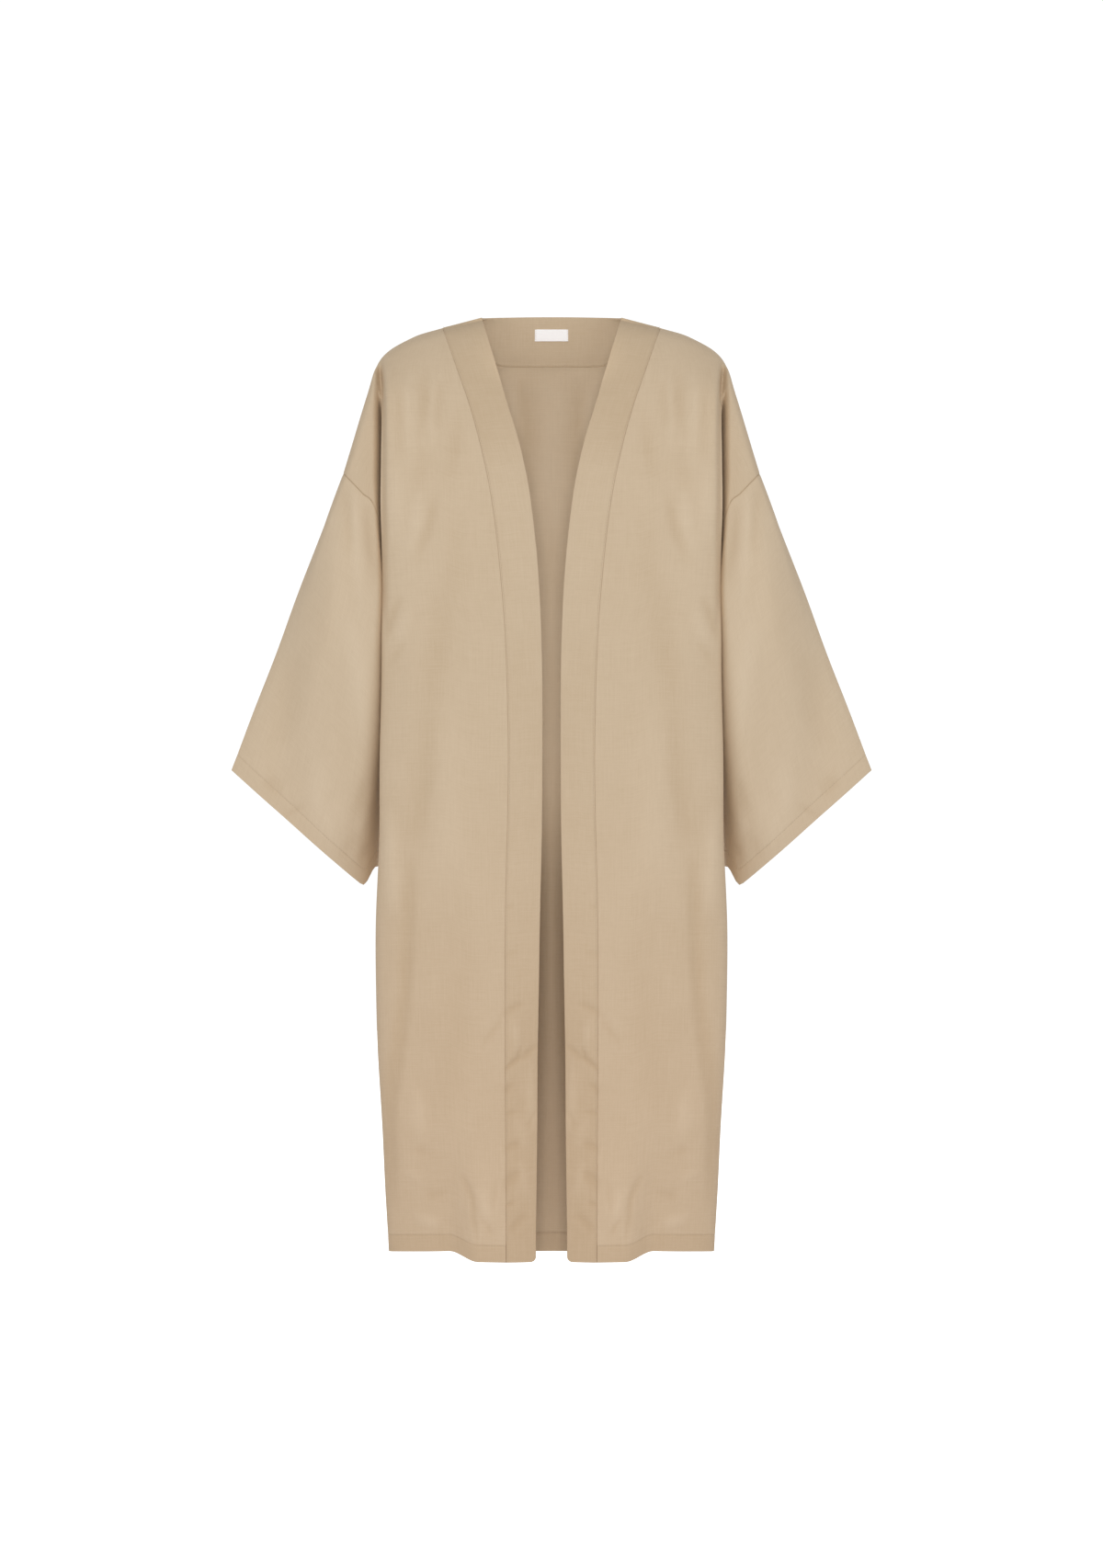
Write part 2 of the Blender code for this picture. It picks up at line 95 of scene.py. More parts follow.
# Front sections, from the shoulder line down. drop_in is at the band's seam and drop_out at the
# armhole or side seam. lip is where the chest turns back, fold the bottom of the armhole fold or,
# below the underarm, the widest point of the side, and seam the armhole or side seam.
Front = namedtuple("Front", "drop_in drop_out front_y lip_x lip_y fold_x fold_y seam_x seam_y")
FRONT = [Front(
    SHOULDER_DROP, 0.1754, RIDGE_Y, 0.1890, RIDGE_Y, 0.2040, RIDGE_Y, 0.2308, RIDGE_Y,
)] + in_metres(
    Front,
    (26, 178, -32, 189, -30, 202.5, -24, 228.5, -22),
    (75, 187, -70, 184.5, -76, 187, -52, 219.5, -46),
    (150, 200.5, -98, 183.8, -88, 181.5, -52, 206.5, -70),
    (220, 214.5, -110, 183.8, -90, 180, -48, 193.5, -68),
    (290, 270, -115, 181.5, -86, 179, -48, 176.5, -26),
    (360, 360, -115, 180, -86, 181, -48, 162, 30),
    (520, 520, -111, 180.8, -83, 186.2, -48, 163, 32),
    (700, 700, -105, 178, -79, 191.5, -42, 165, 30),
    (870, 870, -98, 174, -73, 187, -40, 164, 26),
    (1039, 1032, -92, 166, -66, 178.5, -36, 160, 22),
)
LAST_ROW = len(FRONT) - 1
UNDERARM = 6  # row of FRONT where the sleeve leaves the body
# Share of the way from drop_in to drop_out at the five guide points of a row
DROP_SHARES = (0.0, 0.067, 0.206, 0.46, 1.0)
GUIDES = len(DROP_SHARES)
CHEST_EASE = 0.20  # how far the chest point has come round from the band towards the lip
LIP = 2  # guide point of the lip

# Back sections at the same rows. mid is the centre back, and neck the column under the end of the
# band's shoulder seam.
Back = namedtuple(
    "Back", "drop_mid drop_in mid_y neck_x neck_y lip_x lip_y fold_x fold_y seam_x seam_y")
BACK = [Back(
    0.0476, SHOULDER_DROP, 0.085, BAND_AT_SHOULDER, RIDGE_Y, 0.1890, RIDGE_Y, 0.2040, RIDGE_Y,
    0.2308, RIDGE_Y,
)] + in_metres(
    Back,
    (60, 24, 89, 121, 36, 189, 34, 202.5, 30, 228.5, 32),
    (100, 72, 97, 120, 74, 185, 72, 193, 60, 219.5, 56),
    (162, 148, 102, 119, 93, 178, 82, 183, 60, 206.5, 68),
    (225, 218, 102, 117, 96, 172, 78, 175, 57, 193.5, 68),
    (292, 290, 99, 114, 92, 162, 72, 167, 58, 174, 58),
    (360, 360, 95, 110, 87, 143, 70, 156, 53, 162, 30),
    (520, 520, 86, 108, 79, 142, 65, 156, 51, 163, 32),
    (700, 700, 83, 108, 76, 142, 62, 157, 48, 165, 30),
    (870, 870, 78, 106, 71, 140, 57, 156, 44, 164, 26),
    (1044, 1042, 72, 104, 65, 138, 52, 153, 39, 160, 22),
)
BLADE_AT = 0.50  # blade point between the centre back and the neck column
BLADE_DROP = 0.09  # share of the fall from the centre back that the blade point has
NECK_FLAT = 0.88  # column up to which the neck seam is level
NECK_CURVE = 1.5  # power of its rise from there to the neck corner
CORNER_ROWS = 1.0  # the neck corner's crease fades out over this many rows
NECK_STATIONS = (0, 0.4, 0.8, 1.15, 1.45, 1.75, 2)  # back columns at even turns round the nape
NECK_CORNER = 2  # back column at the neck corner, after the centre back and the blade

# Wave of the front hem: beside the band the cloth hangs lower and further forward than at the side
WAVE_FROM, WAVE_TO = 0.080, 0.113
WAVE_LIFT = 0.010  # the side part of the hem is this much higher
WAVE_DEPTH = 0.007  # and its cloth stands this much further back
WAVE_HEIGHT = 0.16  # height over which the wave fades out above the hem
WAVE_COLUMN = 1  # from this guide point on, the lift runs out towards the side seam

# Sleeve sections by share of the way from armhole to cuff: the outer fold and the inner edge in space,
# the swell of the front and back walls from the line between them, and how sharp the two edges are.
Sleeve = namedtuple(
    "Sleeve", "share outer_x outer_y outer_drop inner_x inner_y inner_drop front back outer_pow inner_pow")
SLEEVE = [
    Sleeve(0.0, 0.2308, 0.005, 0.1754, 0.1620, 0.030, 0.3600, 0.066, 0.056, 0.60, 0.50),
    Sleeve(0.3, 0.2678, -0.006, 0.2737, 0.1735, 0.030, 0.4420, 0.068, 0.050, 0.62, 0.38),
    Sleeve(0.6, 0.3049, -0.010, 0.3719, 0.1850, 0.030, 0.5180, 0.060, 0.046, 0.70, 0.38),
    Sleeve(1.0, 0.3546, -0.010, 0.5030, 0.1945, 0.028, 0.6100, 0.048, 0.038, 0.82, 0.38),
]
CUFF_DROOP = 0.033  # the cuff's front wall hangs this much lower at its inner end
BACK_DROOP = 0.45  # share of that droop on the back wall
DROOP_TURN = (0.90, 1.0)  # where the droop turns up again into the inner edge
ARMHOLE_FADE = 0.75  # the armhole's own shape fades into the sleeve over this share

# Armhole fold, by drop: the outline of the body beside it, the depth at which the cloth outside the fold
# lies and how fully it does so, and where and how deep the fold is cut in at its upper end
Fold = namedtuple("Fold", "drop edge flat_y flat slit slit_depth")
FOLD = [Fold(*row) for row in (
    (0.045, 0.1870, -0.030, 0.00, 0.1905, 0.000),
    (0.060, 0.1855, -0.038, 0.60, 0.1892, 0.014),
    (0.080, 0.1845, -0.050, 0.85, 0.1872, 0.024),
    (0.110, 0.1842, -0.060, 0.85, 0.1858, 0.024),
    (0.150, 0.1840, -0.068, 0.88, 0.1850, 0.018),
    (0.190, 0.1840, -0.074, 0.90, 0.1848, 0.014),
    (0.230, 0.1838, -0.077, 0.92, 0.1846, 0.012),
    (0.280, 0.1825, -0.079, 0.95, 0.1838, 0.010),
    (0.320, 0.1818, -0.081, 0.97, 0.1828, 0.007),
    (0.360, 0.1814, -0.082, 1.00, 0.1825, 0.000),
    (0.410, 0.1820, -0.081, 1.00, 0.1840, 0.000),
    (0.460, 0.1836, -0.077, 0.98, 0.1860, 0.000),
    (0.520, 0.1864, -0.068, 0.92, 0.1895, 0.000),
    (0.570, 0.1888, -0.061, 0.68, 0.1910, 0.000),
    (0.620, 0.1910, -0.050, 0.28, 0.1910, 0.000),
    (0.660, 0.1910, -0.040, 0.00, 0.1910, 0.000),
)]
FLAT_WIDTHS = (0.012, 0.003)  # width over which the cloth comes forward beside the edge, high and low
FLAT_NARROWS = (0.18, 0.30)  # drops between which that width narrows
FLAT_FADE = (0.020, 0.120)  # distance from the edge over which it runs out into the sleeve
FLAT_FRONT = (-RIDGE_Y, 0.035)  # depth over which it runs out towards the shoulder line
FLAT_BACK = -0.030  # below the armhole it reaches back to this
FLAT_DEEPENS = (0.30, 0.42)  # drops between which it comes to do so
CAP_ENDS = (0.225, 0.270)  # on the front panel, drops between which it runs out
SLIT_WIDTH = 0.0036

# Grid of the shells
BODY_STEP = 0.0044  # usual distance between two grid lines on the body
SLEEVE_STEP = 0.0034
BAND_STEP = 0.0030
BAND_WIDTH = 0.045  # usual width of the finished band
LABEL_STEP = 0.0010
NORMAL_BASE = 0.0024  # least distance between the lines on which normals are found
EDGE_LINES = np.array((0, 0.0002, 0.0004, 0.0008, 0.0016, 0.0030))  # closer lines at an edge
TURN_LINES = np.array((-0.0030, -0.0018, -0.0009, 0, 0.0009, 0.0018, 0.0030))  # and at a hem's turn
CLEAR_PART = 3  # even lines stay clear of closer ones by this part of their step
TRACE_COUNT = 1200  # points on the lines along which the grid is measured out
TRACE_ROW = 7.5  # row along which the columns are measured out

# Seams and hems
EDGE_ROLL = 0.0006  # the cloth rounds over at a sewn or folded edge within this distance
SEAM_SINK = 0.0003  # a seam lies this deep
SEAM_SPREAD = 0.0016  # and its groove is about this wide on each side
SEAM_SHADE_WIDTH = 0.0011  # width of the painted shade line along a seam, on each side
SEAM_PAINTED_SHADE = 2.4  # strength of that painted shade, in units of the turned hem's painted shade
HEM_SINK = 0.0003  # the hem's stitch line lies this deep
HEM_SPREAD = 0.0014
BAND_TAPER = 0.014  # the double band thins towards its seam within this distance
FOLDED_SHARE = 0.35  # at a folded edge each wall takes this much of the room
FOLDED_WALL = 0.0001  # and at least this
BAND_PAINTED_SHADE = 0.35  # painted shade on the double band, as a share of the turned hem's painted shade
BAND_PAINTED_SHADE_TOP = 1.1  # and how much more painted shade above the chest
BAND_TOP = (0.10, 0.22)  # drops between which that runs out
BAND_PAINTED_SHADE_LOW = 1.0  # and below
BAND_LOW = (0.65, 0.92)  # drops between which that comes in
SLEEVE_PAINTED_LIGHT = -0.6  # painted light: the sleeve's cloth is coloured a little lighter
CUFF_PAINTED_LIGHT = -0.4  # painted light on the turned cuff, a little less than on the sleeve
PUCKER_REACH = 0.0060  # distance from a stitched line over which its puckers die away
CREASE_SHADE_HEIGHT = 0.0012  # height of a crease at which its painted shade (trough) and painted light (ridge) are full
SWAY_SHADE_SHARE = 0.15  # share of that painted shade and light for the slow unevenness

MIRROR = np.array((-1, 1, 1))
BODY_INSIDE = (0.0, 0.0, -0.5)
NECK_INSIDE = (0.0, 0.01, -0.02)
CORNER_PASSES = 12  # repeats that let the pieces agree where several seams meet

# Creases, in millimetres, as seen from one side: at is x from the front and back, and y from the
# side. A trough has a depth above zero, and a ridge below. bend bows the line out by that much.
Crease = namedtuple("Crease", "view at drop to_at to_drop bend width depth")
CREASE_FACING = (0.1, 0.5)  # a crease comes in as the cloth turns towards that side


def crease_table(view, *rows):
    return [Crease(view, *(size / 1000 for size in row)) for row in rows]


FRONT_CREASES = crease_table(
    "front",
    # streaks below the shoulder
    (139, 58, 142, 140, 2, 6, 1.1), (121, 74, 126, 136, -1, 5.5, 0.9),
    (102, 112, 112, 190, 2, 7.5, 0.9), (155, 60, 153, 178, -2, 7.5, -1.1),
    (130, 62, 132, 160, 1, 6, -0.8), (168, 80, 163, 165, 1, 6.5, 0.8),
    (171, 160, 165, 262, -2, 8.5, -0.9), (146, 150, 140, 225, 1, 7, 0.6),
    # drag line across the chest
    (126, 200, 148, 276, 3, 5.5, 1.4), (139, 180, 158, 275, 2, 8.5, -1.1),
    (98, 230, 108, 330, -3, 12, 0.8),
    # end of the armhole fold
    (181, 362, 163, 312, 2, 4.5, 1.6), (174, 376, 152, 318, -2, 6, -0.6),
    (178, 395, 158, 362, 2, 6, 0.8),
    # long narrow trough down the side, and the bulge above it
    (112, 300, 134, 480, -3, 14, 1.1), (132, 430, 150, 600, 2, 12, 1.3),
    (152, 590, 160, 750, -1, 7, 2.1), (158, 690, 165, 800, 1, 6, 1.6),
    (162, 745, 178, 880, 2, 7.5, 2.1), (178, 805, 174, 990, -1, 7.5, 1.9),
    (179, 540, 175, 665, 1, 8.5, -1.9), (110, 450, 128, 680, 3, 16, -0.5),
    (88, 640, 112, 900, -4, 18, 0.5), (150, 845, 144, 915, 2, 8.5, -1),
    # pressed crease across the band, and the bulges beside it
    (53, 832, 33, 815, 1, 2.4, 2), (38.5, 823, 32.5, 801, 0, 1.6, 1.6),
    (23.5, 812, 20.5, 905, 1, 5.5, -1.4), (42, 772, 36, 812, 1, 4.5, -1.2),
    (50, 763, 81, 808, 2, 3.5, 0.9),
    # puckers beside the band's seam
    (53, 655, 40, 649, 0, 3, 0.7), (53, 708, 36, 700, 1, 4.2, 0.7), (54, 770, 26, 756, 2, 4.4, 1.3),
    (34, 819, 13, 801, 1, 3, 1.2), (52, 858, 41, 842, 1, 3.6, 1.3), (53, 878, 34, 873, 0, 2.4, 0.8),
    (25, 895, 16, 872, 1, 2.8, 1), (54, 917, 32, 909, 1, 3.6, 1.2), (55, 962, 30, 938, 3, 5.6, 1.6),
    (52, 976, 38, 972, -1, 2.6, 1), (47, 1008, 24, 985, 2, 4.4, 1.1), (36, 925, 26, 975, 1, 5, -1.1),
    (40, 878, 26, 918, 1, 5.5, -0.8),
    # crumples above the hem
    (101, 940, 82, 990, 3, 3.4, 1.5), (87, 972, 80, 1016, -1, 3.4, 1.2),
    (78, 955, 70, 1004, 2, 5, -1.1), (77, 988, 63, 1012, 1, 2.8, 1.2),
    (118, 998, 152, 990, 2, 5.5, -1.4), (138, 950, 160, 940, 2, 5, -1), (112, 962, 140, 968, 2, 5, 0.9),
    (128, 928, 150, 915, -2, 5, 0.7), (60, 940, 66, 985, 1, 4, 0.7),
) + crease_table(
    "side",
    (-30, 420, -22, 700, 6, 14, 2.2), (8, 370, 4, 560, -4, 11, 1.8), (-8, 610, -26, 930, 5, 13, 2),
    (12, 800, 6, 1020, -3, 12, -1.6),
)
BACK_CREASES = crease_table(
    "back",
    # streaks below the neck
    (6, 50, 2, 260, 2, 11, 1.6), (30, 55, 24, 190, -2, 7.5, -1.2), (48, 60, 40, 150, 1, 6, 0.9),
    (142, 120, 108, 300, 6, 11, 2.4), (118, 70, 94, 205, -4, 9, 1.3), (60, 330, 74, 640, 8, 20, 2.6),
    (112, 460, 96, 820, -6, 18, 2.4), (18, 480, 26, 900, 5, 23, -1.8), (50, 700, 62, 1035, -5, 17, 2.8),
    (110, 760, 118, 1020, 4, 15, -2), (-138, 128, -112, 282, -5, 12, 2.2),
    (-100, 80, -84, 190, 3, 8.5, 1.1), (-44, 290, -62, 560, -7, 19, 2.4),
    (-106, 520, -90, 900, 6, 19, 2.6), (-20, 600, -32, 1000, 4, 21, 2.2),
    (-74, 740, -70, 1038, -4, 16, -2), (-124, 840, -118, 1030, 3, 12, 1.8),
)
SLEEVE_CREASES = crease_table(
    "front",
    # drag lines from the armhole
    (228, 188, 219, 270, 1, 5.5, 1.2), (203, 208, 193, 300, 1, 5.5, 1.3),
    (215, 200, 207, 320, -1, 7, -1), (243, 270, 262, 400, 3, 12, 0.3),
    (221, 330, 206, 480, 3, 11, -0.9),
    # wrinkles and pressed creases at the cuff
    (230, 604, 210, 566, 2, 4.5, 1.2), (222, 588, 203, 545, -2, 5, -1), (213, 612, 199, 580, 1, 4, 1.1),
    (216, 560, 200, 510, 2, 5.5, 1), (297, 556, 270, 541, 1, 3.2, 1.1), (318, 512, 298, 530, 3, 8, 1),
    (262, 490, 238, 590, -4, 12, -1.1), (276, 360, 304, 490, 4, 15, 0.9),
    (254, 560, 240, 520, 2, 6, 0.7),
) + crease_table(
    "back",
    # the back wall
    (222, 210, 250, 372, -5, 9, 1.8), (200, 260, 216, 470, 5, 10, 2), (262, 380, 296, 508, 4, 11, 1.4),
    (236, 590, 214, 545, 3, 6, 1.4), (206, 580, 196, 500, -3, 7, 1.5),
    (282, 440, 262, 560, -3, 12, -1.4),
)

# Slow unevenness of hanging cloth: how often it waves per metre along x, y and z, its height and start
Sway = namedtuple("Sway", "x y z height start")
SWAYS = [
    Sway(7.0, 2.0, 1.1, 0.0007, 0.4),
    Sway(3.1, 6.0, 2.3, 0.0006, 2.1),
    Sway(13.0, 5.0, 3.2, 0.0003, 4.0),
    Sway(-9.0, 4.0, 6.1, 0.0003, 1.2),
]
SWAY_FROM, SWAY_TO = 0.03, 0.30  # it grows from the shoulders down

# Stitched lines
STITCH_PITCH = 0.0031
STITCH_LENGTH = 0.0023
THREAD_RADIUS = 0.00022
STITCH_TILT = 0.10  # uneven lie of the stitches, in radians
STITCH_SEED = 7
BAND_STITCH_AT = 0.0017  # distance of the band's stitches from its seam
HEM_STITCH_AT = 0.0185  # distance of the hem's stitches from the hem
LABEL_STITCH_PITCH = 0.0018
LABEL_STITCH_LENGTH = 0.0012
LABEL_STITCH_AT = 0.0011

# Linen. Each "often" is a number of changes per metre, across and along the cloth where it has two.
# The darker end is redder, as cloth in shade is from light bounced within it: painted shade for the crease,
# hem, band and seam marks, and the cloth's own colour for its slubs and clouds
LINEN_SHADE, LINEN_LIGHT = (0.545, 0.412, 0.270, 1), (0.685, 0.553, 0.399, 1)
PAINTED_WARM_SHADE, PAINTED_WARM_LIGHT = (0.545, 0.392, 0.250, 1), (0.685, 0.526, 0.370, 1)  # painted warm light from below: the linen's two ends towards the hem
PAINTED_WARM_FROM, PAINTED_WARM_TO = -0.35, -1.00  # heights between which the painted warm light comes in
THREAD_PITCH = 0.00085
WANDER, WANDER_OFTEN = 0.9, 260.0  # threads wander by this share of their pitch
SLUBS_OFTEN = ((900.0, 22.0, 1.0), (26.0, 1000.0, 1.0))  # thick places in upright and level threads
SLUB_HEIGHT = 0.7  # beside that of a thread's crown
CLOUDS_OFTEN = 9.0
MOTTLES = ((55.0, 0.14), (190.0, 0.20))  # smaller clouds: how often, and share of the tone
MIDDLE_TONE = 0.40  # from shade to light, and what is added to it by each thing
CROWN_TONE, SLUB_TONE, CLOUD_TONE = 0.16, 0.42, 0.28
# painted shade and light: creases darker in their troughs and lighter on their ridges; turned hems, the
# band and seam lines darker, the sleeves lighter
CREASE_SHADE_TONE, PAINTED_SHADE_TONE = 0.30, -0.24
LINEN_ROUGHNESS, SLUB_ROUGHNESS = 0.90, -0.12
TUCKS_OFTEN = {"tucks_up": (9.0, 95.0, 1.0), "tucks_across": (95.0, 9.0, 1.0)}  # puckers at seams
TUCK_BUMP, WEAVE_BUMP = (0.6, 0.0010), (0.35, 0.00022)  # strength and height

# Thread and label
THREAD_SHADE, THREAD_LIGHT = (0.44, 0.35, 0.24, 1), (0.60, 0.47, 0.33, 1)
TWIST_OFTEN = 2600.0
THREAD_TONE, TWIST_TONE = 0.5, 0.6
FINE_BUMP = (0.3, 0.0001)  # of thread and label
LABEL_SHADE, LABEL_LIGHT = (0.86, 0.84, 0.83, 1), (0.97, 0.95, 0.94, 1)
LABEL_PAINTED_GLOW = 0.10  # painted light: the tape glows a little, though it is no lamp
RIB_PITCH = 0.0005
FLECKS_OFTEN = (700.0, 2500.0, 1.0)
LABEL_TONE, FLECK_TONE, RIB_TONE = 0.68, 0.5, 0.10
LABEL_ROUGHNESS, FLECK_ROUGHNESS = 0.55, 0.15

# Camera, floor and light
PHOTO_WIDTH, PHOTO_SCALE = 1200, 0.00102  # photo's width, and metres per pixel at the shoulder line
CAMERA_DISTANCE = 5.0
CAMERA_Z = -0.5182
SENSOR = 36.0
FLOOR_Z = -1.45
FLOOR_SIZE = 24.0
FLOOR_GLOW = 0.95
FLOOR_COLOUR, WHITE = (0.9, 0.9, 0.9, 1), (1, 1, 1, 1)
GRAIN_OFTEN = 40.0
FLOOR_ROUGHNESS, GRAIN_ROUGHNESS = 0.9, 0.1
AIR_SEEN, AIR_LIGHT = 1.05, 0.535  # brightness of the white background, and of the light from it
Light = namedtuple("Light", "name at towards width height power")
LIGHTS = [
    Light("front_light", (0, -5.2, -0.10), (0, 0, -0.40), 0.7, 0.7, 90.0),
    Light("left_light", (3.0, -1.3, -0.2), (0, 0, -0.45), 1.6, 1.8, 10.0),
    Light("right_light", (-3.0, -1.3, -0.2), (0, 0, -0.45), 1.6, 1.8, 10.0),
    Light("top_light", (0, -1.6, 2.2), (0, 0, -0.4), 2.2, 1.6, 4.5),
    Light("back_light", (0, 3.2, 0.4), (0, 0, -0.5), 2.0, 2.0, 40.0),
    Light("inside_light", (0, -0.045, -0.29), (0, 0.1, -0.27), 0.10, 0.60, 0.135),
]


# Curves and blends

def through(keys, values, at):
    """Smooth curve through values (rows) at keys, read at the positions in at."""
    keys, values, at = (np.asarray(a, float) for a in (keys, values, at))
    slopes = np.gradient(values, keys, axis=0)
    i = np.clip(np.searchsorted(keys, at, side="right") - 1, 0, len(keys) - 2)
    step = keys[i + 1] - keys[i]
    t = (at - keys[i]) / step
    shape = t.shape + (1,) * (values.ndim - 1)
    t, step = t.reshape(shape), step.reshape(shape)
    start, end = values[i], values[i + 1]
    return (
        start * (1 + 2 * t) * (1 - t) ** 2
        + end * t * t * (3 - 2 * t)
        + slopes[i] * step * t * (1 - t) ** 2
        - slopes[i + 1] * step * t * t * (1 - t)
    )


def ease(low, high, x):
    """0 below low, 1 above high, and a smooth step between."""
    t = np.clip((np.asarray(x, float) - low) / (high - low), 0, 1)
    return t * t * (3 - 2 * t)


def half_width(table, drop):
    return through([row.drop for row in table], [row.half for row in table], drop)


def section(table, at):
    """The section table's columns, read at row position at, as a row of the same kind."""
    rows = through(range(len(table)), np.array(table), np.array([at]))
    return type(table[0])(*rows[0])


def run_length(points):
    """Distance along a line of points, from its first."""
    steps = np.linalg.norm(np.diff(points, axis=0), axis=-1)
    return np.concatenate([np.zeros_like(steps[:1]), np.cumsum(steps, axis=0)])


def grid_lines(length, step, start=False, end=False, turn=None):
    """Distances of the grid lines along a length: even, and closer at an edge or a hem's turn."""
    close = [np.array((0, length))]
    if start:
        close.append(EDGE_LINES)
    if end:
        close.append(length - EDGE_LINES)
    if turn is not None:
        close.append(length - turn + TURN_LINES)
    close = np.unique(np.concatenate(close))
    even = np.linspace(0, length, round(length / step) + 1)
    clear = np.abs(even[:, None] - close[None]).min(axis=1) > step / CLEAR_PART
    return np.sort(np.concatenate([close, even[clear]]))


# Outer skins of the body

def outer_seam(table, at):
    """Place of the armhole, or of the side seam that front and back share below the underarm."""
    if at < UNDERARM:
        row, front_row = (section(rows[:UNDERARM + 1], at) for rows in (table, FRONT))
    else:
        row = front_row = section(FRONT[UNDERARM:], at - UNDERARM)
    return row.seam_x, row.seam_y, front_row.drop_out


def outer_guides(table, at, row, inner_x, inner_y):
    """Guide points of a row: its inner column, chest or shoulder, lip, fold and outer seam."""
    seam_x, seam_y, drop_out = outer_seam(table, at)
    drops = row.drop_in + (drop_out - row.drop_in) * np.array(DROP_SHARES)
    chest = ((inner_x + row.lip_x) / 2, inner_y + CHEST_EASE * (row.lip_y - inner_y))
    across = [(inner_x, inner_y), chest, (row.lip_x, row.lip_y), (row.fold_x, row.fold_y), (seam_x, seam_y)]
    return np.column_stack([across, -drops])


def front_guides(at):
    """Guide points of the front row at position at, from the band's seam."""
    row = section(FRONT, at)
    return outer_guides(FRONT, at, row, float(half_width(BAND_SEAM, row.drop_in)), row.front_y)


def back_guides(at):
    """Centre back and blade of a back row, and its guide points from the neck column."""
    row = section(BACK, at)
    blade_y = row.mid_y - BLADE_DROP * (row.mid_y - row.neck_y)
    inner = [(0, row.mid_y, -row.drop_mid), (BLADE_AT * row.neck_x, blade_y, -row.drop_mid)]
    return np.vstack([inner, outer_guides(BACK, at, row, row.neck_x, row.neck_y)])


def body_rows():
    """Row positions from the shoulder to the hem, and how many of them reach the underarm."""
    trace = np.linspace(0, LAST_ROW, TRACE_COUNT)
    length = run_length(np.array([front_guides(at)[1] for at in trace]))
    underarm, hem = np.interp((UNDERARM, LAST_ROW), trace, length)
    upper = grid_lines(underarm, BODY_STEP, start=True)
    lower = underarm + grid_lines(hem - underarm, BODY_STEP, end=True, turn=HEM_TURN)
    rows = np.interp(np.concatenate([upper, lower[1:]]), length, trace)
    rows[len(upper) - 1] = UNDERARM
    return rows, len(upper)


def body_columns():
    """Column positions of the front, and of the back from its centre to the neck corner."""
    trace = np.linspace(0, GUIDES - 1, TRACE_COUNT)
    length = run_length(through(range(GUIDES), front_guides(TRACE_ROW), trace))
    front = np.interp(grid_lines(length[-1], BODY_STEP, start=True, end=True), length, trace)
    neck_length = np.linalg.norm(np.diff(back_guides(TRACE_ROW)[:NECK_CORNER + 1], axis=0), axis=1).sum()
    neck = grid_lines(neck_length, BODY_STEP, end=True) * NECK_CORNER / neck_length
    return front, neck


def hem_wave(points, columns):
    """The front hem's wave: the side of the panel is lifted and set back near the hem."""
    hem = FRONT[LAST_ROW].drop_in
    near_hem = 1 - ease(0, WAVE_HEIGHT, hem + points[:, 2])
    past_band = ease(WAVE_FROM, WAVE_TO, points[:, 0])
    before_seam = np.clip((columns[-1] - columns) / (columns[-1] - WAVE_COLUMN), 0, 1)
    points[:, 2] += WAVE_LIFT * past_band * before_seam * near_hem
    points[:, 1] += WAVE_DEPTH * (past_band * before_seam - (1 - past_band)) * near_hem
    return points


def front_skin(rows, columns):
    """Outer points of the wearer's left front, rows by columns."""
    return np.array([hem_wave(through(range(GUIDES), front_guides(at), columns), columns) for at in rows])


def by_drop(table, drop):
    """A short table's other columns, read at the drops given."""
    keys = [row.drop for row in table]
    return through(keys, [row[1:] for row in table], np.clip(drop, keys[0], keys[-1]))


def press_armhole(points, ends=None):
    """Narrows the armhole fold: the cloth outside it lies flat, and its upper end is cut in."""
    across, deep, drop = points[..., 0], points[..., 1], -points[..., 2]
    edge, flat_y, flat, slit, slit_depth = np.moveaxis(by_drop(FOLD, drop), -1, 0)
    width = FLAT_WIDTHS[0] + (FLAT_WIDTHS[1] - FLAT_WIDTHS[0]) * ease(*FLAT_NARROWS, drop)
    beside = ease(0, 1, (across - edge) / width) * (1 - ease(*FLAT_FADE, across - edge))
    back = FLAT_FRONT[0] + (FLAT_BACK - FLAT_FRONT[0]) * ease(*FLAT_DEEPENS, drop)
    forward = ease(0, 1, (-deep - back) / (FLAT_FRONT[1] - back))
    share = flat * beside * forward
    if ends:
        share = share * (1 - ease(*ends, drop))
    points[..., 1] += share * np.minimum(flat_y - deep, 0)
    points[..., 1] += slit_depth * np.exp(-((across - slit) / SLIT_WIDTH) ** 2) * forward
    return points


def back_row(at, neck_columns, outer_columns):
    """Half a back row. At the neck corner it is creased, and lower down it runs smoothly through."""
    guides = back_guides(at)
    neck = through(range(NECK_CORNER + 1), guides[:NECK_CORNER + 1], neck_columns)
    rise = np.clip((neck_columns - NECK_FLAT) / (NECK_CORNER - NECK_FLAT), 0, 1) ** NECK_CURVE
    neck[:, 2] = guides[0, 2] + (guides[NECK_CORNER, 2] - guides[0, 2]) * rise
    creased = np.vstack([neck, through(range(GUIDES), guides[NECK_CORNER:], outer_columns[1:])])
    columns = np.concatenate([neck_columns, outer_columns[1:] + NECK_CORNER])
    smooth = through(range(len(guides)), guides, columns)
    share = ease(0, CORNER_ROWS, at)
    return creased * (1 - share) + smooth * share


def back_skin(rows, neck_columns, outer_columns):
    """Outer points of the back's left half, from the centre outwards."""
    half = np.array([back_row(at, neck_columns, outer_columns) for at in rows])
    half[:, 0, 0] = 0
    return half


def both_halves(half, mirror=MIRROR):
    """A left half from the centre outwards, with its mirror image before it."""
    return np.concatenate([half[:, :0:-1] * mirror, half], axis=1)


# Outer skins of the bands, label and sleeves

def band_shares():
    """Places across a band, from its seam to its edge, as shares of its width."""
    return grid_lines(BAND_WIDTH, BAND_STEP, start=True, end=True) / BAND_WIDTH


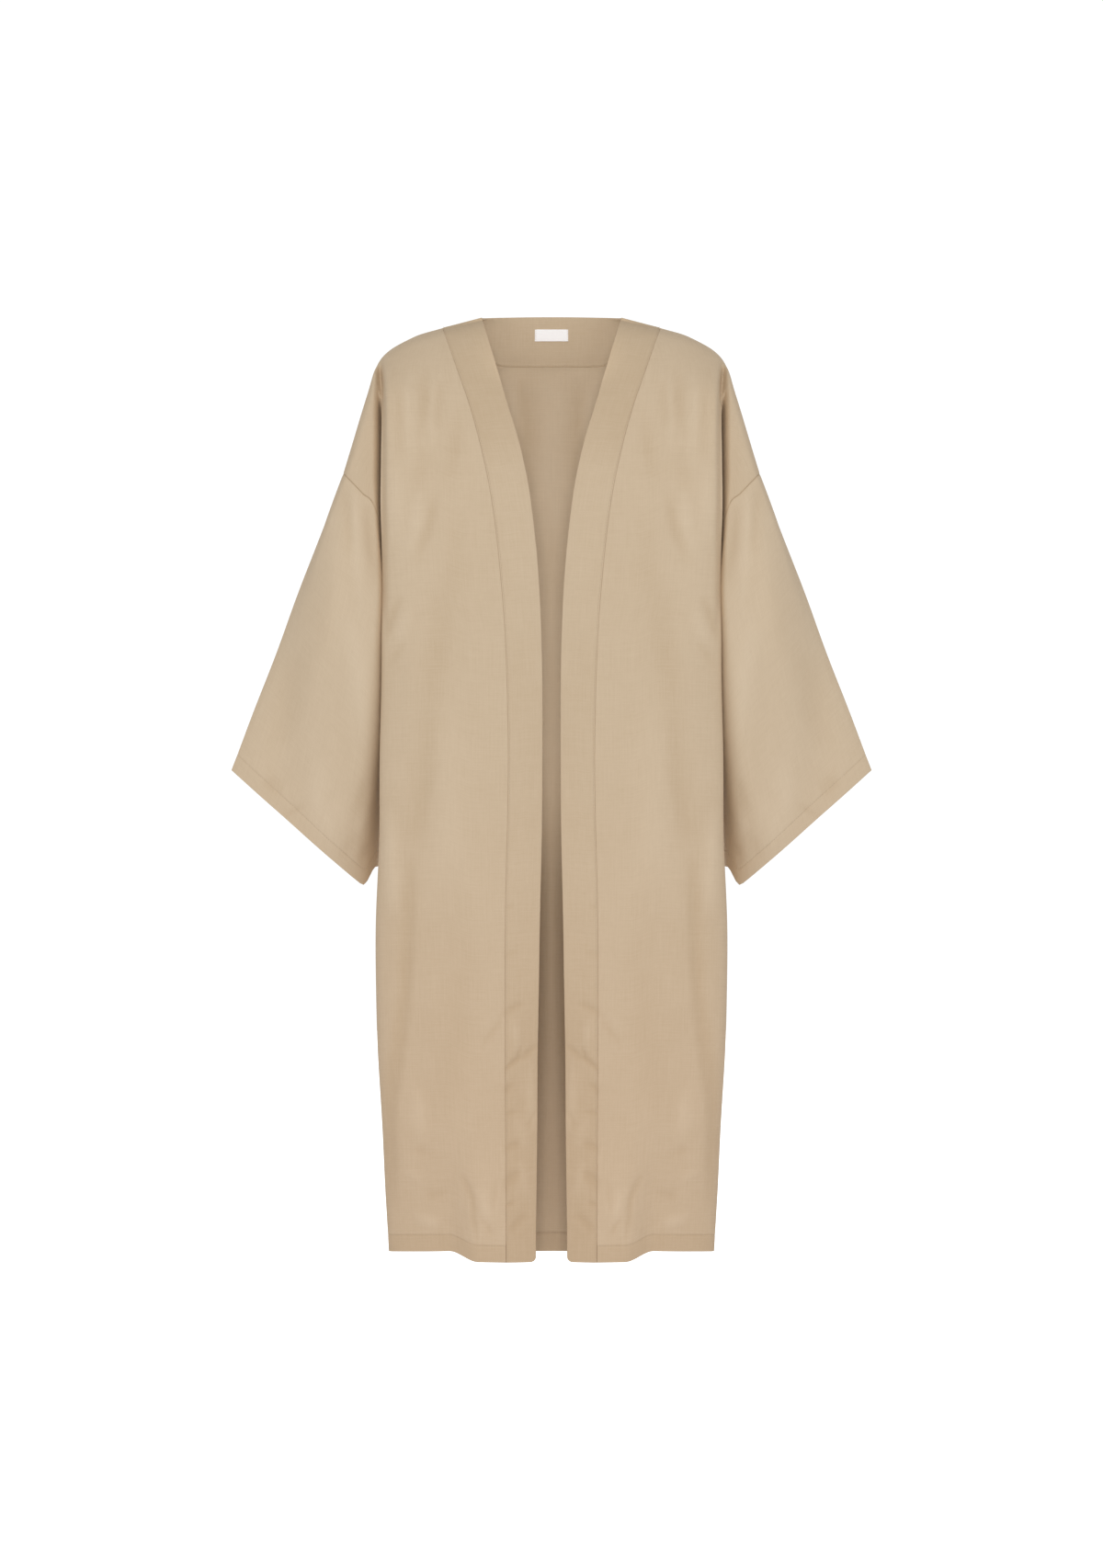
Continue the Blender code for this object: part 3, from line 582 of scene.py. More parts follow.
def front_band_skin(front):
    """The band beside the left front, from its seam to the front edge, rows from shoulder to hem."""
    seam = front[:, 0]
    drop = -seam[:, 2]
    rise = EDGE_RISE * (1 - ease(*EDGE_RISE_ENDS, drop))
    edge_drop = drop - rise
    edge_x = half_width(FRONT_EDGE, edge_drop)
    lengths = run_length(seam)
    edge_y = np.interp(lengths - rise, lengths, seam[:, 1])
    below_shoulder = ease(SHOULDER_DROP, EDGE_RISE_ENDS[1], drop)
    edge_y += BAND_TURN * below_shoulder
    edge = np.column_stack([edge_x, edge_y, -edge_drop])
    shares = band_shares()
    share = shares[None, :, None]
    skin = seam[:, None] * (1 - share) + edge[:, None] * share
    skin[..., 1] -= BAND_CROWN * below_shoulder[:, None] * np.sin(np.pi * shares) ** CROWN_ROUND
    return round_corner(skin)


def round_corner(skin):
    """Rounds the lower front corner of the band."""
    from_edge = (run_length(skin[-1])[-1] - run_length(skin[-1]))[None]
    from_hem = skin[..., 2] - skin[-1:, :, 2]
    inside = np.clip(1 - from_edge / BAND_CORNER, 0, 1)
    lift = BAND_CORNER * (1 - np.sqrt(1 - inside ** 2))
    skin[..., 2] += lift * (1 - ease(0, CORNER_FADE, from_hem))
    return skin


def neck_band_skin(back, neck_columns):
    """The band round the back neck, both halves: columns along the neck, rows from seam to top edge."""
    count = len(neck_columns)
    seam = back[0, :count]
    even_turns = np.linspace(0, np.pi / 2, len(NECK_STATIONS))
    turn = np.clip(through(NECK_STATIONS, even_turns, neck_columns), 0, np.pi / 2)
    nape_y = seam[0, 1] - NAPE_LEAN
    top = np.column_stack([
        NECK_HALF * np.sin(turn) ** NAPE_ROUND,
        RIDGE_Y + (nape_y - RIDGE_Y) * np.cos(turn) ** NAPE_ROUND,
        NAPE_TOP * np.cos(turn),
    ])
    share = band_shares()[:, None, None]
    return both_halves(seam[None] * (1 - share) + top[None] * share)


def label_skin(neck, normals):
    """The label's sewn face, set off the inside of the neck band, and its normals."""
    height = run_length(neck.mean(axis=1))
    places = height[-1] * (1 - np.array((LABEL_TOP, LABEL_BOTTOM)))
    down = grid_lines(places[0] - places[1], LABEL_STEP, start=True, end=True)
    across = grid_lines(LABEL_WIDTH, LABEL_STEP, start=True, end=True) - LABEL_WIDTH / 2

    def on_band(grid):
        lines = through(height, grid, places[0] - down)
        xs = through(height, neck[..., 0], places[0] - down)
        return np.array([
            np.column_stack([np.interp(across, x, line[:, k]) for k in range(3)])
            for x, line in zip(xs, lines)])

    facing = on_band(normals)
    facing /= np.linalg.norm(facing, axis=2, keepdims=True)
    return on_band(neck - normals * (BAND_WALL + LABEL_LIFT)), facing


def armhole(front, back, upper):
    """The armhole as a ring of points: down the front to the underarm and up the back."""
    return np.concatenate([front[:upper, -1], back[upper - 2:0:-1, -1]])


def sleeve_skin(hole, upper):
    """Outer points of the left sleeve: rings from the armhole to the cuff."""
    length = run_length(hole[:upper])
    front_share = length / length[-1]
    share = np.concatenate([front_share, front_share[-2:0:-1]])[:, None]
    back_side = np.arange(len(hole)) >= upper
    keys = [row.share for row in SLEEVE]

    def ring(at):
        row = Sleeve(*through(keys, np.array(SLEEVE), np.array([at]))[0])
        outer = np.array((row.outer_x, row.outer_y, -row.outer_drop))
        inner = np.array((row.inner_x, row.inner_y, -row.inner_drop))
        points = outer * (1 - share) + inner * share
        s = share[:, 0]
        peak = row.outer_pow / (row.outer_pow + row.inner_pow)
        most = peak ** row.outer_pow * (1 - peak) ** row.inner_pow
        swell = s ** row.outer_pow * (1 - s) ** row.inner_pow / most
        points[:, 1] += np.where(back_side, row.back, -row.front) * swell
        droop = CUFF_DROOP * s * (1 - ease(*DROOP_TURN, s)) * at ** 2
        points[:, 2] -= droop * np.where(back_side, BACK_DROOP, 1)
        return points

    own_shape = hole - ring(0)
    sleeve_length = np.linalg.norm(ring(1)[0] - ring(0)[0])
    stations = grid_lines(sleeve_length, SLEEVE_STEP, start=True, end=True, turn=HEM_TURN) / sleeve_length
    return np.array([ring(at) + own_shape * (1 - ease(0, ARMHOLE_FADE, at)) for at in stations])


# Seams, hems and creases

def skin_normals(points, inside, closed=False):
    """Unit normals of a grid of points, turned away from the point or points inside.

    They are found on lines well apart, because the close ones at an edge would make them uneven."""
    down_at, across_at = run_length(points.mean(axis=1)), run_length(points.mean(axis=0))
    rows = well_apart(down_at)
    columns = list(range(points.shape[1])) if closed else well_apart(across_at)
    wide = points[np.ix_(rows, columns)]
    if closed:
        ringed = np.concatenate([wide[:, -1:], wide, wide[:, :1]], axis=1)
        across = np.gradient(ringed, axis=1)[:, 1:-1]
    else:
        across = np.gradient(wide, axis=1)
    normals = np.cross(across, np.gradient(wide, axis=0))
    normals /= np.linalg.norm(normals, axis=2, keepdims=True)
    normals = through(down_at[rows], normals, down_at)
    if not closed:
        normals = through(across_at[columns], normals.swapaxes(0, 1), across_at).swapaxes(0, 1)
    normals /= np.linalg.norm(normals, axis=2, keepdims=True)
    outwards = ((points - inside) * normals).sum()
    return normals * np.sign(outwards)


def well_apart(lengths):
    """Indices of the first and last line, and of lines between that are well apart."""
    kept = [0]
    for k in range(1, len(lengths) - 1):
        if min(lengths[k] - lengths[kept[-1]], lengths[-1] - lengths[k]) >= NORMAL_BASE:
            kept.append(k)
    return kept + [len(lengths) - 1]


def finer(grid, axis):
    """A grid with a line added halfway between every two, along an axis."""
    lines = grid.swapaxes(0, axis)
    halves = np.linspace(0, len(lines) - 1, 2 * len(lines) - 1)
    return through(range(len(lines)), lines, halves).swapaxes(0, axis)


def straighten(line):
    """Puts the added points of a finer line halfway between its own."""
    line[1::2] = (line[:-1:2] + line[2::2]) / 2


def agree(pairs, unit=False):
    """Gives two grids the same values along their seams; unit keeps them unit vectors."""
    for (first, at), (second, there) in pairs * CORNER_PASSES:
        mean = (first[at] + second[there]) / 2
        if unit:
            mean /= np.linalg.norm(mean, axis=-1, keepdims=True)
        first[at], second[there] = mean, mean


def edge_distances(points, closed=False):
    """Distance of each grid point from the piece's edges, measured along the cloth."""
    top = run_length(points)
    first = run_length(points.swapaxes(0, 1)).T
    edges = {"top": top, "bottom": top[-1:] - top}
    if not closed:
        edges.update(first=first, last=first[:, -1:] - first)
    return edges


def crease_relief(points, normals, creases):
    """Height of the cloth from its creases."""
    views = {"front": (0, -normals[..., 1]), "back": (0, normals[..., 1]), "side": (1, normals[..., 0])}
    height = np.zeros(points.shape[:2])
    for crease in creases:
        axis, facing = views[crease.view]
        way = np.array((crease.to_at - crease.at, crease.to_drop - crease.drop))
        length = np.linalg.norm(way)
        at, drop = points[..., axis] - crease.at, -points[..., 2] - crease.drop
        along = np.clip((at * way[0] + drop * way[1]) / length ** 2, 0, 1)
        aside = (drop * way[0] - at * way[1]) / length - crease.bend * 4 * along * (1 - along)
        height -= (crease.depth * np.sin(np.pi * along) * np.exp(-(aside / crease.width) ** 2)
                   * ease(*CREASE_FACING, facing))
    return height


def sway_relief(points):
    """Slow unevenness of the cloth, from the shoulders down."""
    x, y, drop = points[..., 0], points[..., 1], -points[..., 2]
    height = sum(sway.height * np.sin(2 * np.pi * (sway.x * x + sway.y * y + sway.z * drop) + sway.start)
                 for sway in SWAYS)
    return height * ease(SWAY_FROM, SWAY_TO, drop)


def groove(away, sink, spread):
    return -sink * np.exp(-(away / spread) ** 2)


def press(skin, normals, creases, sewn=(), dark=(), hem=True, closed=False, turned=0.0, hem_painted_shade=1.0):
    """Presses creases, sewn edges and a hem into a skin, and returns the marks its material reads: painted
    shade and light on the creases, and painted shade on the hem strip, the seam lines and the whole piece
    (painted light below zero).

    dark names the sewn edges that get a line of painted shade along the seam."""
    edges = edge_distances(skin, closed)
    folds, sway = crease_relief(skin, normals, creases), sway_relief(skin)
    height = folds + sway + sum(groove(edges[name], SEAM_SINK, SEAM_SPREAD) for name in sewn)
    beside = {name: np.exp(-edges[name] / PUCKER_REACH) for name in sewn}
    none = np.zeros(skin.shape[:2])
    marks = {
        # painted shade in the creases' troughs and painted light on their ridges, and faintly along the
        # sway
        "fold": np.tanh((folds + SWAY_SHADE_SHARE * sway) / CREASE_SHADE_HEIGHT),
        "tucks_up": sum((beside[name] for name in sewn if name != "top"), none),
        "tucks_across": beside.get("top", none),
        # painted shade for the whole piece, painted light where below zero
        "turned": none + turned,
    }
    if hem:
        from_stitches = np.abs(edges["bottom"] - HEM_STITCH_AT)
        height += groove(from_stitches, HEM_SINK, HEM_SPREAD)
        marks["tucks_across"] = marks["tucks_across"] + np.exp(-from_stitches / PUCKER_REACH)
        # painted shade on the turned hem strip
        below_turn = 1 - ease(HEM_TURN - TURN_STEP / 2, HEM_TURN, edges["bottom"])
        marks["turned"] = turned + (hem_painted_shade - turned) * below_turn
    # painted shade in a line along the seams named in dark
    marks["turned"] = marks["turned"] + sum(-groove(edges[name], SEAM_PAINTED_SHADE, SEAM_SHADE_WIDTH) for name in dark)
    skin += normals * height[..., None]
    return marks


def turned_wall(edges):
    """Thickness of single cloth, thicker below the hem's turn."""
    return TURNED_WALL - (TURNED_WALL - CLOTH_WALL) * ease(HEM_TURN, HEM_TURN + TURN_STEP, edges["bottom"])


def band_wall(from_seam, beside):
    """Thickness of the double band, which at its seam is that of the cloth beside it."""
    return beside + (BAND_WALL - beside) * ease(0, BAND_TAPER, from_seam)


def sleeve_wall(sleeve, edges):
    """Thickness of the sleeve's cloth, no thicker than its two walls leave room for at the folded edges."""
    across_from = -np.arange(sleeve.shape[1])
    gap = np.linalg.norm(sleeve - sleeve[:, across_from], axis=2)
    return np.clip(FOLDED_SHARE * gap, FOLDED_WALL, turned_wall(edges))


# Shells

Cloth = namedtuple("Cloth", "skin normals edges wall marks plumb closed")


def cloth_of(skin, normals, wall, marks, plumb=0, closed=False):
    """Cloth under its outer skin. wall gives its thickness from the distances to its edges.

    marks are values at the grid points for the material. plumb is the column that the weave's upright
    threads follow."""
    edges = edge_distances(skin, closed)
    return Cloth(skin, normals, edges, np.broadcast_to(wall(edges), skin.shape[:2]), marks, plumb, closed)


def shell(name, cloth, hand=1):
    """A thin closed shell of the cloth, whose two faces meet in rounded edges."""
    rounding = np.ones(cloth.wall.shape)
    for away in cloth.edges.values():
        inside = np.clip(1 - away / EDGE_ROLL, 0, 1)
        rounding = np.minimum(rounding, np.sqrt(1 - inside ** 2))
    middle = cloth.skin - cloth.normals * (cloth.wall / 2)[..., None]
    half = cloth.normals * (cloth.wall / 2 * rounding)[..., None]
    hands = np.array((hand, 1, 1))
    rows, columns = cloth.wall.shape
    points = np.concatenate([(middle + half).reshape(-1, 3), (middle - half).reshape(-1, 3)]) * hands

    outer = np.arange(rows * columns).reshape(rows, columns)
    inner = outer + rows * columns
    inner[[0, -1]] = outer[[0, -1]]
    if cloth.closed:
        outer, inner = (np.concatenate([index, index[:, :1]], axis=1) for index in (outer, inner))
    else:
        inner[:, [0, -1]] = outer[:, [0, -1]]

    def quads(grid):
        corners = (grid[:-1, :-1], grid[:-1, 1:], grid[1:, 1:], grid[1:, :-1])
        return np.stack(corners, axis=2).reshape(-1, 4, *grid.shape[2:])

    a, b, _, d = (points[quads(outer)[:, k]] for k in range(4))
    facing = (np.cross(b - a, d - a) * (half.reshape(-1, 3) * hands)[quads(outer)[:, 0]]).sum()
    way = 1 if facing > 0 else -1
    faces = np.concatenate([quads(outer)[:, ::way], quads(inner)[:, ::-way]])
    weave = weave_places(cloth)
    corners = np.concatenate([quads(weave)[:, ::way], quads(weave)[:, ::-way]])
    # the inner face takes the creases' painted shade and light turned over
    both_sides = {
        key: np.concatenate([mark.ravel(), (-mark if key == "fold" else mark).ravel()])
        for key, mark in cloth.marks.items()}
    return cloth_object(name, points, faces, corners, both_sides)


def weave_places(cloth):
    """Place of each grid point in the flat cloth: across from the plumb column, and up from the hem."""
    skin = cloth.skin
    ringed = np.concatenate([skin, skin[:, :1]], axis=1) if cloth.closed else skin
    across, down = run_length(ringed.swapaxes(0, 1)).T, run_length(ringed)
    return np.stack([across - across[:, cloth.plumb:cloth.plumb + 1], down[-1:] - down], axis=2)


def cloth_object(name, points, faces, corners, marks):
    """A mesh object with smooth faces, the weave's own UV map and the marks as attributes."""
    used, index = np.unique(faces, return_inverse=True)
    mesh = bpy.data.meshes.new(name)
    mesh.from_pydata(points[used].tolist(), [], index.reshape(-1, 4).tolist())
    weave = mesh.uv_layers.new(name="weave")
    weave.data.foreach_set("uv", corners.reshape(-1).astype(np.float32))
    for key, values in marks.items():
        attribute = mesh.attributes.new(key, "FLOAT", "POINT")
        attribute.data.foreach_set("value", values[used].astype(np.float32))
    mesh.shade_smooth()
    return place(bpy.data.objects.new(name, mesh))


def place(thing):
    bpy.context.scene.collection.objects.link(thing)
    return thing


# Materials

class Nodes:
    """Short way of building a node tree."""

    def __init__(self, tree):
        self.tree = tree

    def put(self, socket, value):
        """Gives a socket a value, or a link to another socket."""
        if isinstance(value, bpy.types.NodeSocket):
            self.tree.links.new(value, socket)
        else:
            socket.default_value = value

    def fill(self, node, **inputs):
        for key, value in inputs.items():
            self.put(node.inputs[key.replace("_", " ")], value)

    def add(self, kind, settings=None, **inputs):
        """A node of that kind, with its settings, and values or links on its inputs by name."""
        node = self.tree.nodes.new(kind)
        for key, value in (settings or {}).items():
            setattr(node, key, value)
        self.fill(node, **inputs)
        return node

    def math(self, operation, *values, kind="ShaderNodeMath"):
        node = self.add(kind, {"operation": operation})
        for socket, value in zip(node.inputs, values):
            self.put(socket, value)
        return node.outputs[0]

    def add_up(self, total, *parts):
        """A total with parts added to it, each by its share."""
        for part, share in parts:
            total = self.math("MULTIPLY_ADD", part, share, total)
        return total

    def noise(self, places, scale, detail=2.0, roughness=0.5):
        """A noise's height, from -0.5 to 0.5."""
        node = self.add("ShaderNodeTexNoise", Vector=places, Scale=scale, Detail=detail,
                        Roughness=roughness)
        return self.math("SUBTRACT", node.outputs["Fac"], 0.5)

    def streaks(self, places, often, detail, roughness=0.5):
        """A noise that changes more often along one axis than along another."""
        stretched = self.add("ShaderNodeMapping", Vector=places, Scale=often)
        return self.noise(stretched.outputs["Vector"], 1.0, detail, roughness)

    def bump(self, height, strength, distance, **inputs):
        node = self.add("ShaderNodeBump", Height=height, Strength=strength, Distance=distance, **inputs)
        return node.outputs["Normal"]

    def weave(self):
        return self.add("ShaderNodeUVMap", {"uv_map": "weave"}).outputs["UV"]

    def places(self):
        return self.add("ShaderNodeTexCoord").outputs["Object"]

    def mark(self, name):
        """One of the marks that the cloth's grid points carry."""
        return self.add("ShaderNodeAttribute", {"attribute_name": name}).outputs["Fac"]

    def blend(self, share, low, high):
        """A colour between two, by share."""
        node = self.add("ShaderNodeMix", {"data_type": "RGBA", "clamp_factor": True}, Factor=share)
        ends = [socket for socket in node.inputs if socket.type == "RGBA"]
        for socket, colour in zip(ends, (low, high)):
            self.put(socket, colour)
        return next(socket for socket in node.outputs if socket.type == "RGBA")


def new_material(name):
    material = bpy.data.materials.new(name)
    material.use_nodes = True
    return material, Nodes(material.node_tree), material.node_tree.nodes["Principled BSDF"]


def linen_material():
    """Plain-weave linen: uneven warp and weft threads, slubs, faint clouds of colour and a dry sheen, with
    painted shade and light from the cloth's marks and painted warm light towards the hem.
    """
    material, nodes, shader = new_material("linen")
    weave, vectors = nodes.weave(), "ShaderNodeVectorMath"
    wander = nodes.add("ShaderNodeTexNoise", Vector=weave, Scale=WANDER_OFTEN, Detail=1.0)
    shift = nodes.math("SUBTRACT", wander.outputs["Color"], (0.5,) * 3, kind=vectors)
    bent = nodes.math("MULTIPLY_ADD", shift, (WANDER * THREAD_PITCH,) * 3, weave, kind=vectors)
    split = nodes.add("ShaderNodeSeparateXYZ", Vector=bent)
    warp, weft = (nodes.math("SINE", nodes.math("MULTIPLY", split.outputs[k], np.pi / THREAD_PITCH))
                  for k in "XY")
    over = nodes.math("MULTIPLY_ADD", nodes.math("MULTIPLY", warp, weft), 0.5, 0.5)
    under = nodes.math("SUBTRACT", 1.0, over)
    crown = nodes.math("ADD", nodes.math("MULTIPLY", nodes.math("ABSOLUTE", warp), over),
                       nodes.math("MULTIPLY", nodes.math("ABSOLUTE", weft), under))
    slub = nodes.math("ADD", *(nodes.streaks(weave, often, detail=2.0, roughness=0.6)
                               for often in SLUBS_OFTEN))

    clouds = nodes.noise(weave, CLOUDS_OFTEN, detail=3.0, roughness=0.55)
    mottles = ((nodes.noise(weave, often, detail=2.0, roughness=0.6), share) for often, share in MOTTLES)
    # the fold and turned marks paint shade and light into the tone
    tone = nodes.add_up(
        MIDDLE_TONE, (crown, CROWN_TONE), (slub, SLUB_TONE), (clouds, CLOUD_TONE), *mottles,
        (nodes.mark("fold"), CREASE_SHADE_TONE), (nodes.mark("turned"), PAINTED_SHADE_TONE))
    # painted warm light from below: the linen's colours turn warmer towards the hem
    height = nodes.add("ShaderNodeSeparateXYZ", Vector=nodes.places()).outputs["Z"]
    near_hem = nodes.add("ShaderNodeMapRange", {"interpolation_type": "SMOOTHSTEP"},
                         Value=height, From_Min=PAINTED_WARM_FROM, From_Max=PAINTED_WARM_TO)
    colour = nodes.blend(near_hem.outputs["Result"], nodes.blend(tone, LINEN_SHADE, LINEN_LIGHT),
                         nodes.blend(tone, PAINTED_WARM_SHADE, PAINTED_WARM_LIGHT))

    tucks = (nodes.math("MULTIPLY", nodes.mark(name), nodes.streaks(weave, often, detail=1.0))
             for name, often in TUCKS_OFTEN.items())
    puckers = nodes.bump(nodes.math("ADD", *tucks), *TUCK_BUMP)
    threads = nodes.bump(nodes.math("MULTIPLY_ADD", slub, SLUB_HEIGHT, crown), *WEAVE_BUMP, Normal=puckers)
    nodes.fill(shader, Base_Color=colour, Normal=threads,
               Roughness=nodes.add_up(LINEN_ROUGHNESS, (slub, SLUB_ROUGHNESS)), Specular_IOR_Level=0.20,
               Sheen_Weight=0.12, Sheen_Roughness=0.6, Sheen_Tint=LINEN_LIGHT)
    return material


def thread_material():
    """Twisted sewing thread, a little darker than the cloth."""
    material, nodes, shader = new_material("sewing_thread")
    twist = nodes.noise(nodes.places(), TWIST_OFTEN, detail=1.0)
    colour = nodes.blend(nodes.add_up(THREAD_TONE, (twist, TWIST_TONE)), THREAD_SHADE, THREAD_LIGHT)
    nodes.fill(shader, Base_Color=colour, Normal=nodes.bump(twist, *FINE_BUMP),
               Roughness=0.7, Specular_IOR_Level=0.3)
    return material


def label_material():
    """White woven tape with fine ribs across, and a painted glow."""
    material, nodes, shader = new_material("label_tape")
    weave = nodes.weave()
    upwards = nodes.add("ShaderNodeSeparateXYZ", Vector=weave).outputs["Y"]
    rib = nodes.math("SINE", nodes.math("MULTIPLY", upwards, 2 * np.pi / RIB_PITCH))
    fleck = nodes.streaks(weave, FLECKS_OFTEN, detail=2.0, roughness=0.6)
    tone = nodes.add_up(LABEL_TONE, (fleck, FLECK_TONE), (rib, RIB_TONE))
    # the emission is painted light: a glow that makes the tape brighter than the light on it gives
    nodes.fill(shader, Base_Color=nodes.blend(tone, LABEL_SHADE, LABEL_LIGHT),
               Emission_Color=LABEL_LIGHT, Emission_Strength=LABEL_PAINTED_GLOW,
               Normal=nodes.bump(rib, *FINE_BUMP),
               Roughness=nodes.add_up(LABEL_ROUGHNESS, (fleck, FLECK_ROUGHNESS)), Specular_IOR_Level=0.4)
    return material


def floor_material():
    """Pale studio floor, bright enough to melt into the background."""
    material, nodes, shader = new_material("studio_floor")
    grain = nodes.noise(nodes.places(), GRAIN_OFTEN)
    nodes.fill(shader, Base_Color=FLOOR_COLOUR,
               Roughness=nodes.add_up(FLOOR_ROUGHNESS, (grain, GRAIN_ROUGHNESS)),
               Emission_Color=WHITE, Emission_Strength=FLOOR_GLOW)
    return material


# Stitches

def stitch_tree():
    """Geometry Nodes tree that lays a row of stitches along every edge line it is given."""
    tree = bpy.data.node_groups.new("row_of_stitches", "GeometryNodeTree")
    face = tree.interface
    face.new_socket("Lines", in_out="INPUT", socket_type="NodeSocketGeometry")
    for name in ("Pitch", "Stitch Length", "Thread Radius", "Tilt"):
        face.new_socket(name, in_out="INPUT", socket_type="NodeSocketFloat")
    face.new_socket("Seed", in_out="INPUT", socket_type="NodeSocketInt")
    face.new_socket("Thread", in_out="INPUT", socket_type="NodeSocketMaterial")
    face.new_socket("Stitches", in_out="OUTPUT", socket_type="NodeSocketGeometry")
    nodes = Nodes(tree)
    given = nodes.add("NodeGroupInput").outputs
    line = nodes.add("GeometryNodeMeshToCurve", Mesh=given["Lines"])
    points = nodes.add("GeometryNodeCurveToPoints", {"mode": "LENGTH"},
                       Curve=line.outputs["Curve"], Length=given["Pitch"])
    bead = nodes.add("GeometryNodeMeshUVSphere", Segments=6, Rings=4, Radius=1.0)
    sizes = nodes.add("ShaderNodeCombineXYZ", X=nodes.math("MULTIPLY", given["Stitch Length"], 0.5),
                      Y=given["Thread Radius"], Z=given["Thread Radius"])
    stitch = nodes.add("GeometryNodeTransform", Geometry=bead.outputs["Mesh"], Scale=sizes.outputs[0])
    lie = nodes.add("FunctionNodeAlignRotationToVector", {"axis": "X"}, Vector=points.outputs["Tangent"])
    chance = nodes.add("FunctionNodeRandomValue", {"data_type": "FLOAT_VECTOR"}, Seed=given["Seed"],
                       Min=nodes.math("MULTIPLY", given["Tilt"], -1.0), Max=given["Tilt"])
    tilt = nodes.add("FunctionNodeEulerToRotation", Euler=chance.outputs["Value"])
    turned = nodes.add("FunctionNodeRotateRotation", {"rotation_space": "LOCAL"},
                       Rotation=lie.outputs["Rotation"], Rotate_By=tilt.outputs["Rotation"])
    row = nodes.add("GeometryNodeInstanceOnPoints", Points=points.outputs["Points"],
                    Instance=stitch.outputs["Geometry"], Rotation=turned.outputs["Rotation"])
    real = nodes.add("GeometryNodeRealizeInstances", Geometry=row.outputs["Instances"])
    dyed = nodes.add("GeometryNodeSetMaterial", Geometry=real.outputs["Geometry"], Material=given["Thread"])
    nodes.add("NodeGroupOutput", Stitches=dyed.outputs["Geometry"])
    return tree


def stitch_lines(name, tree, lines, thread, pitch=STITCH_PITCH, length=STITCH_LENGTH):
    """Stitches along the given lines of points, as one plain mesh."""
    points = np.concatenate(lines)
    ends = np.cumsum([len(line) for line in lines])
    edges = [(k, k + 1) for k in range(len(points) - 1) if k + 1 not in ends]
    mesh = bpy.data.meshes.new(name)
    mesh.from_pydata(points.tolist(), edges, [])
    rows = place(bpy.data.objects.new(name + "_lines", mesh))
    laid = rows.modifiers.new("stitches", "NODES")
    laid.node_group = tree
    values = {"Pitch": pitch, "Stitch Length": length, "Thread Radius": THREAD_RADIUS,
              "Tilt": STITCH_TILT, "Seed": STITCH_SEED, "Thread": thread}
    for socket in tree.interface.items_tree:
        if socket.in_out == "INPUT" and socket.name in values:
            laid[socket.identifier] = values[socket.name]
    bpy.context.view_layer.update()
    depsgraph = bpy.context.evaluated_depsgraph_get()
    made = bpy.data.meshes.new_from_object(rows.evaluated_get(depsgraph))
    made.name = name
    made.shade_smooth()
    bpy.data.objects.remove(rows)
    return place(bpy.data.objects.new(name, made))


def line_at(cloth, edge, distance, inside=False, lift=THREAD_RADIUS / 2):
    """Points on a cloth's outer or inner face at a distance from one of its edges, lifted off it."""
    height = -cloth.wall - lift if inside else np.full(cloth.wall.shape, lift)
    raised, away = cloth.skin + cloth.normals * height[..., None], cloth.edges[edge]
    if edge in ("first", "last"):
        raised, away = raised.swapaxes(0, 1), away.T
    if edge in ("last", "bottom"):
        raised, away = raised[::-1], away[::-1]
    return np.array([[np.interp(distance, away[:, k], raised[:, k, i]) for i in range(3)]
                     for k in range(raised.shape[1])])


# Jacket

def sew(front, back, band, neck, sleeve, unit=False):
    """Closes all seams; the finer front and band follow the coarser cloth they are sewn to."""
    corner, upper = neck.shape[1] // 2, sleeve.shape[1] // 2 + 1
    back_ring = list(range(0, 1 - upper, -1))
    agree((
        ((front, np.s_[0, ::2]), (back, np.s_[0, corner:])),
        ((front, np.s_[upper - 1:, -1]), (back, np.s_[upper - 1:, -1])),
        ((front, np.s_[:, 0]), (band, np.s_[::2, 0])),
        ((back, np.s_[0, :corner + 1]), (neck, np.s_[0, corner:])),
        ((band, np.s_[0]), (neck, np.s_[:, -1])),
        ((front, np.s_[:upper, -1]), (sleeve, np.s_[0, :upper])),
        ((back, np.s_[:upper - 1, -1]), (sleeve, np.s_[0, back_ring])),
    ), unit)
    straighten(front[0])
    straighten(band[:, 0])


def sewn_normals(front, back, band, neck, sleeve):
    """Unit normals of the skins, the same on both sides of a seam."""
    found = [skin_normals(skin, BODY_INSIDE) for skin in (front, back, band)]
    found.append(skin_normals(neck, NECK_INSIDE))
    found.append(skin_normals(sleeve, sleeve.mean(axis=1, keepdims=True), closed=True))
    found[1][:, 0, 0] = 0
    sew(*found, unit=True)
    corner = neck.shape[1] // 2
    found[3][:, :corner] = found[3][:, :corner:-1] * MIRROR
    return found


